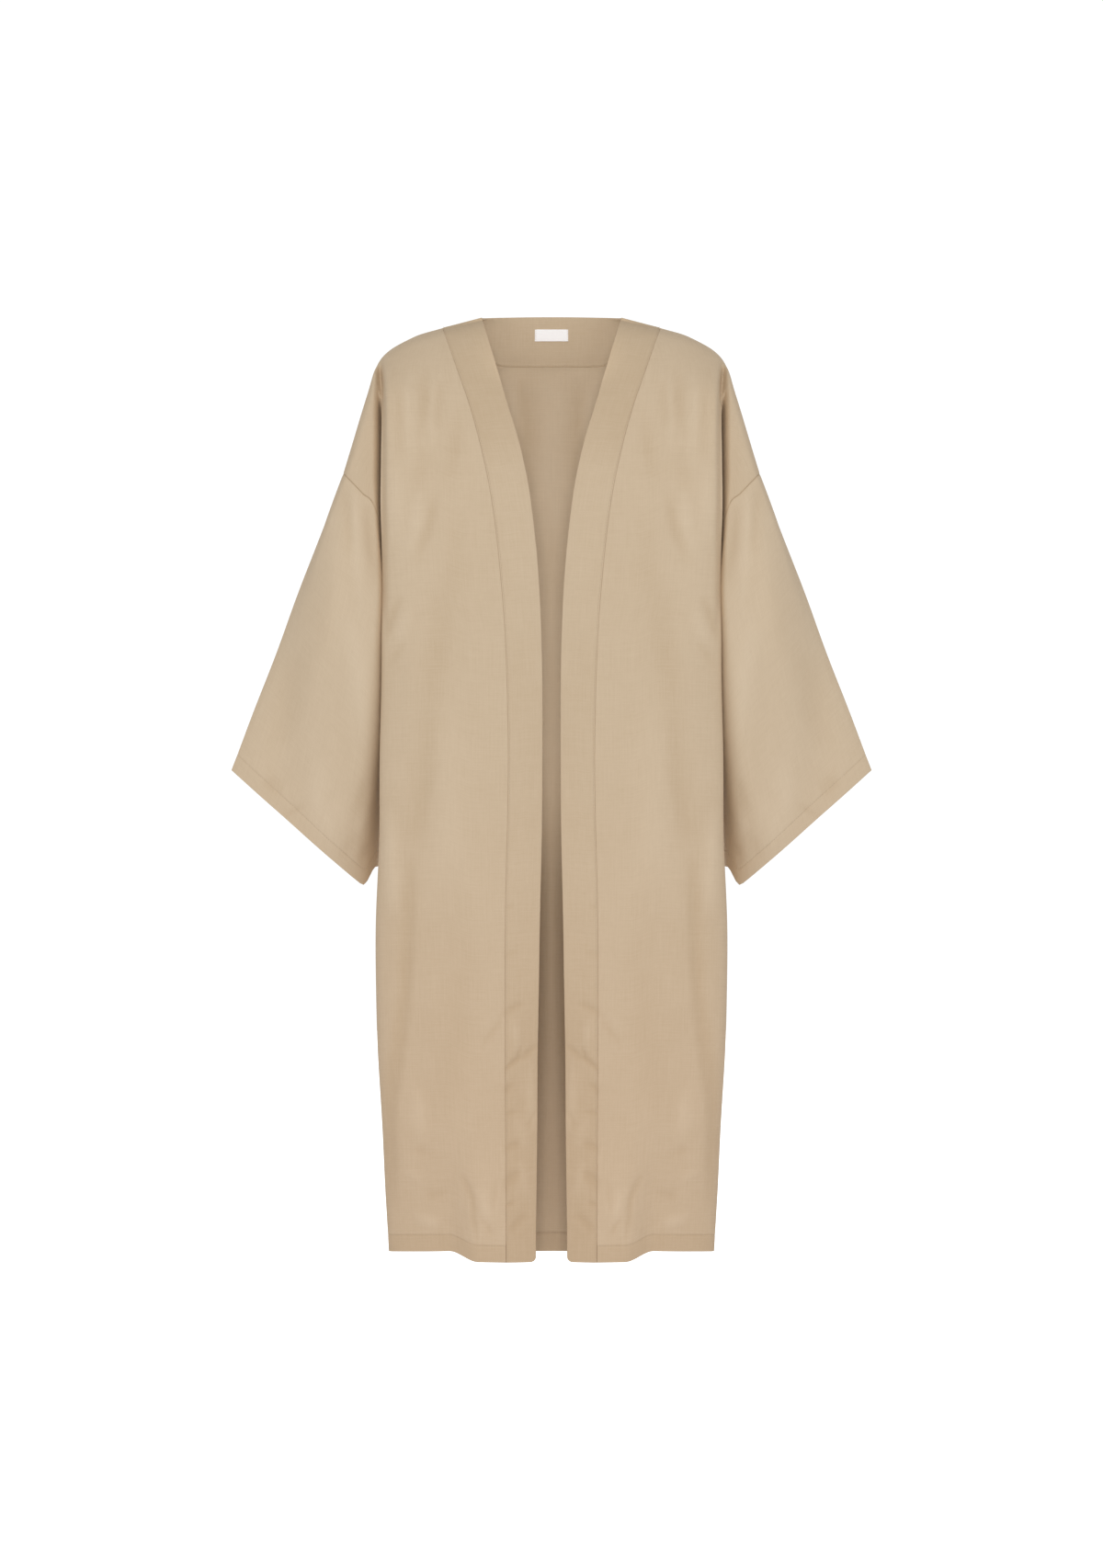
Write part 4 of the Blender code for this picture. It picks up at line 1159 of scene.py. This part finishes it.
def cloths():
    """The back, neck band and label, and the left front, band and sleeve, pressed and sewn."""
    rows, upper = body_rows()
    columns, neck_columns = body_columns()
    front, back = front_skin(rows, columns), back_skin(rows, neck_columns, columns)
    band, neck = front_band_skin(front), neck_band_skin(back, neck_columns)
    sleeve = press_armhole(sleeve_skin(armhole(front, back, upper), upper))
    front, band = finer(press_armhole(front, CAP_ENDS), 1), finer(band, 0)
    skins = front, back, band, neck, sleeve

    # painted shade on the double band, stronger above the chest and low down
    drop = -band[..., 2]
    band_painted_shade = (BAND_PAINTED_SHADE + BAND_PAINTED_SHADE_TOP * (1 - ease(*BAND_TOP, drop))
                 + BAND_PAINTED_SHADE_LOW * ease(*BAND_LOW, drop))
    front_n, back_n, band_n, neck_n, sleeve_n = sewn_normals(*skins)
    # the last arguments name the seams with a line of painted shade, and give each piece's painted shade
    # (painted light below zero)
    front_marks = press(front, front_n, FRONT_CREASES, ("first", "last", "top"), ("last",))
    back_marks = press(back, back_n, BACK_CREASES, ("last", "top"), ("last",))
    band_marks = press(band, band_n, FRONT_CREASES, ("first",), hem=False, turned=band_painted_shade)
    neck_marks = press(neck, neck_n, (), ("top",), ("top",), hem=False, turned=BAND_PAINTED_SHADE)
    sleeve_marks = press(sleeve, sleeve_n, SLEEVE_CREASES, ("top",), ("top",), closed=True,
                         turned=SLEEVE_PAINTED_LIGHT, hem_painted_shade=CUFF_PAINTED_LIGHT)
    sew(*skins)
    front_n, back_n, band_n, neck_n, sleeve_n = sewn_normals(*skins)

    whole_marks = {key: both_halves(mark[..., None], 1)[..., 0] for key, mark in back_marks.items()}
    label, label_n = label_skin(neck, neck_n)
    lip = 2 * int(np.searchsorted(columns, LIP))
    return {
        "back": cloth_of(both_halves(back), both_halves(back_n), turned_wall, whole_marks,
                         plumb=back.shape[1] - 1),
        "band_neck": cloth_of(neck, neck_n, lambda edges: band_wall(edges["top"], CLOTH_WALL),
                              neck_marks, plumb=len(neck_columns) - 1),
        "front": cloth_of(front, front_n, turned_wall, front_marks, plumb=lip),
        "band": cloth_of(band, band_n, lambda edges: band_wall(edges["first"], turned_wall(edges)),
                         band_marks),
        "sleeve": cloth_of(sleeve, sleeve_n, lambda edges: sleeve_wall(sleeve, edges), sleeve_marks,
                           closed=True),
        "neck_label": cloth_of(label, label_n, lambda edges: LABEL_WALL, {},
                               plumb=label.shape[1] // 2),
    }


def dress():
    """Makes the jacket's pieces and stitches, names the pieces and gives them their materials."""
    parts = cloths()
    linen, thread, tape = linen_material(), thread_material(), label_material()
    pieces = {name: shell(name, parts[name]) for name in ("back", "band_neck")}
    for side, hand in (("left", 1), ("right", -1)):
        for name in ("front", "band", "sleeve"):
            pieces[f"{name}_{side}"] = shell(f"{name}_{side}", parts[name], hand)
    pieces["neck_label"] = shell("neck_label", parts["neck_label"])
    for name, piece in pieces.items():
        piece.name = "cloth_" + name
        piece.data.materials.append(tape if name == "neck_label" else linen)
        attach(piece, BODY)
        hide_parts(name)

    tree = stitch_tree()
    band_line = line_at(parts["band"], "first", BAND_STITCH_AT)
    sewn_length = run_length(band_line)
    band_line = band_line[sewn_length[-1] - sewn_length > STITCH_LENGTH]
    neck_lines = [line_at(parts["band_neck"], "top", BAND_STITCH_AT, inside) for inside in (False, True)]
    front_hem, back_hem, cuff = (line_at(parts[name], "bottom", HEM_STITCH_AT)
                                 for name in ("front", "back", "sleeve"))
    label_ends = [line_at(parts["neck_label"], end, LABEL_STITCH_AT, True, THREAD_RADIUS / 4)
                  for end in ("first", "last")]
    hems = [front_hem, front_hem * MIRROR, back_hem, cuff, cuff * MIRROR]
    sewn = [
        stitch_lines("band_stitches", tree, [band_line, band_line * MIRROR, *neck_lines], thread),
        stitch_lines("hem_stitches", tree, hems, thread),
        stitch_lines("label_stitches", tree, label_ends, thread, LABEL_STITCH_PITCH, LABEL_STITCH_LENGTH),
    ]
    for row in sewn:
        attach(row, BODY)


# Studio

def studio():
    """Camera at the photo's angle, a pale floor and soft light."""
    scene = bpy.context.scene
    scene.view_settings.view_transform = "Standard"
    camera = bpy.data.cameras.new("camera")
    camera.sensor_fit = "HORIZONTAL"
    camera.sensor_width = SENSOR
    camera.lens = SENSOR * CAMERA_DISTANCE / (PHOTO_WIDTH * PHOTO_SCALE)
    eye = place(bpy.data.objects.new("camera", camera))
    eye.location = (0, -CAMERA_DISTANCE, CAMERA_Z)
    eye.rotation_euler = (np.pi / 2, 0, 0)
    scene.camera = eye

    floor = bpy.data.meshes.new("floor")
    half = FLOOR_SIZE / 2
    corners = [(x * half, y * half, FLOOR_Z) for x, y in ((-1, -1), (1, -1), (1, 1), (-1, 1))]
    floor.from_pydata(corners, [], [(0, 1, 2, 3)])
    floor.materials.append(floor_material())
    ground = place(bpy.data.objects.new("floor", floor))
    ground.visible_diffuse = False

    world = bpy.data.worlds.new("studio_air")
    scene.world = world
    world.use_nodes = True
    nodes = Nodes(world.node_tree)
    seen = nodes.add("ShaderNodeLightPath").outputs["Is Camera Ray"]
    strength = nodes.add("ShaderNodeMix", {"data_type": "FLOAT"}, Factor=seen, A=AIR_LIGHT, B=AIR_SEEN)
    nodes.fill(world.node_tree.nodes["Background"], Color=WHITE, Strength=strength.outputs[0])
    for light in LIGHTS:
        softbox(light)


def softbox(light):
    """A soft area light, aimed at a point and unseen by the camera."""
    lamp = bpy.data.lights.new(light.name, "AREA")
    lamp.shape = "RECTANGLE"
    lamp.size, lamp.size_y = light.width, light.height
    lamp.energy = light.power
    box = place(bpy.data.objects.new(light.name, lamp))
    box.location = light.at
    aim = Vector(light.towards) - Vector(light.at)
    box.rotation_euler = aim.to_track_quat("-Z", "Y").to_euler()
    box.visible_camera = False


dress()
studio()
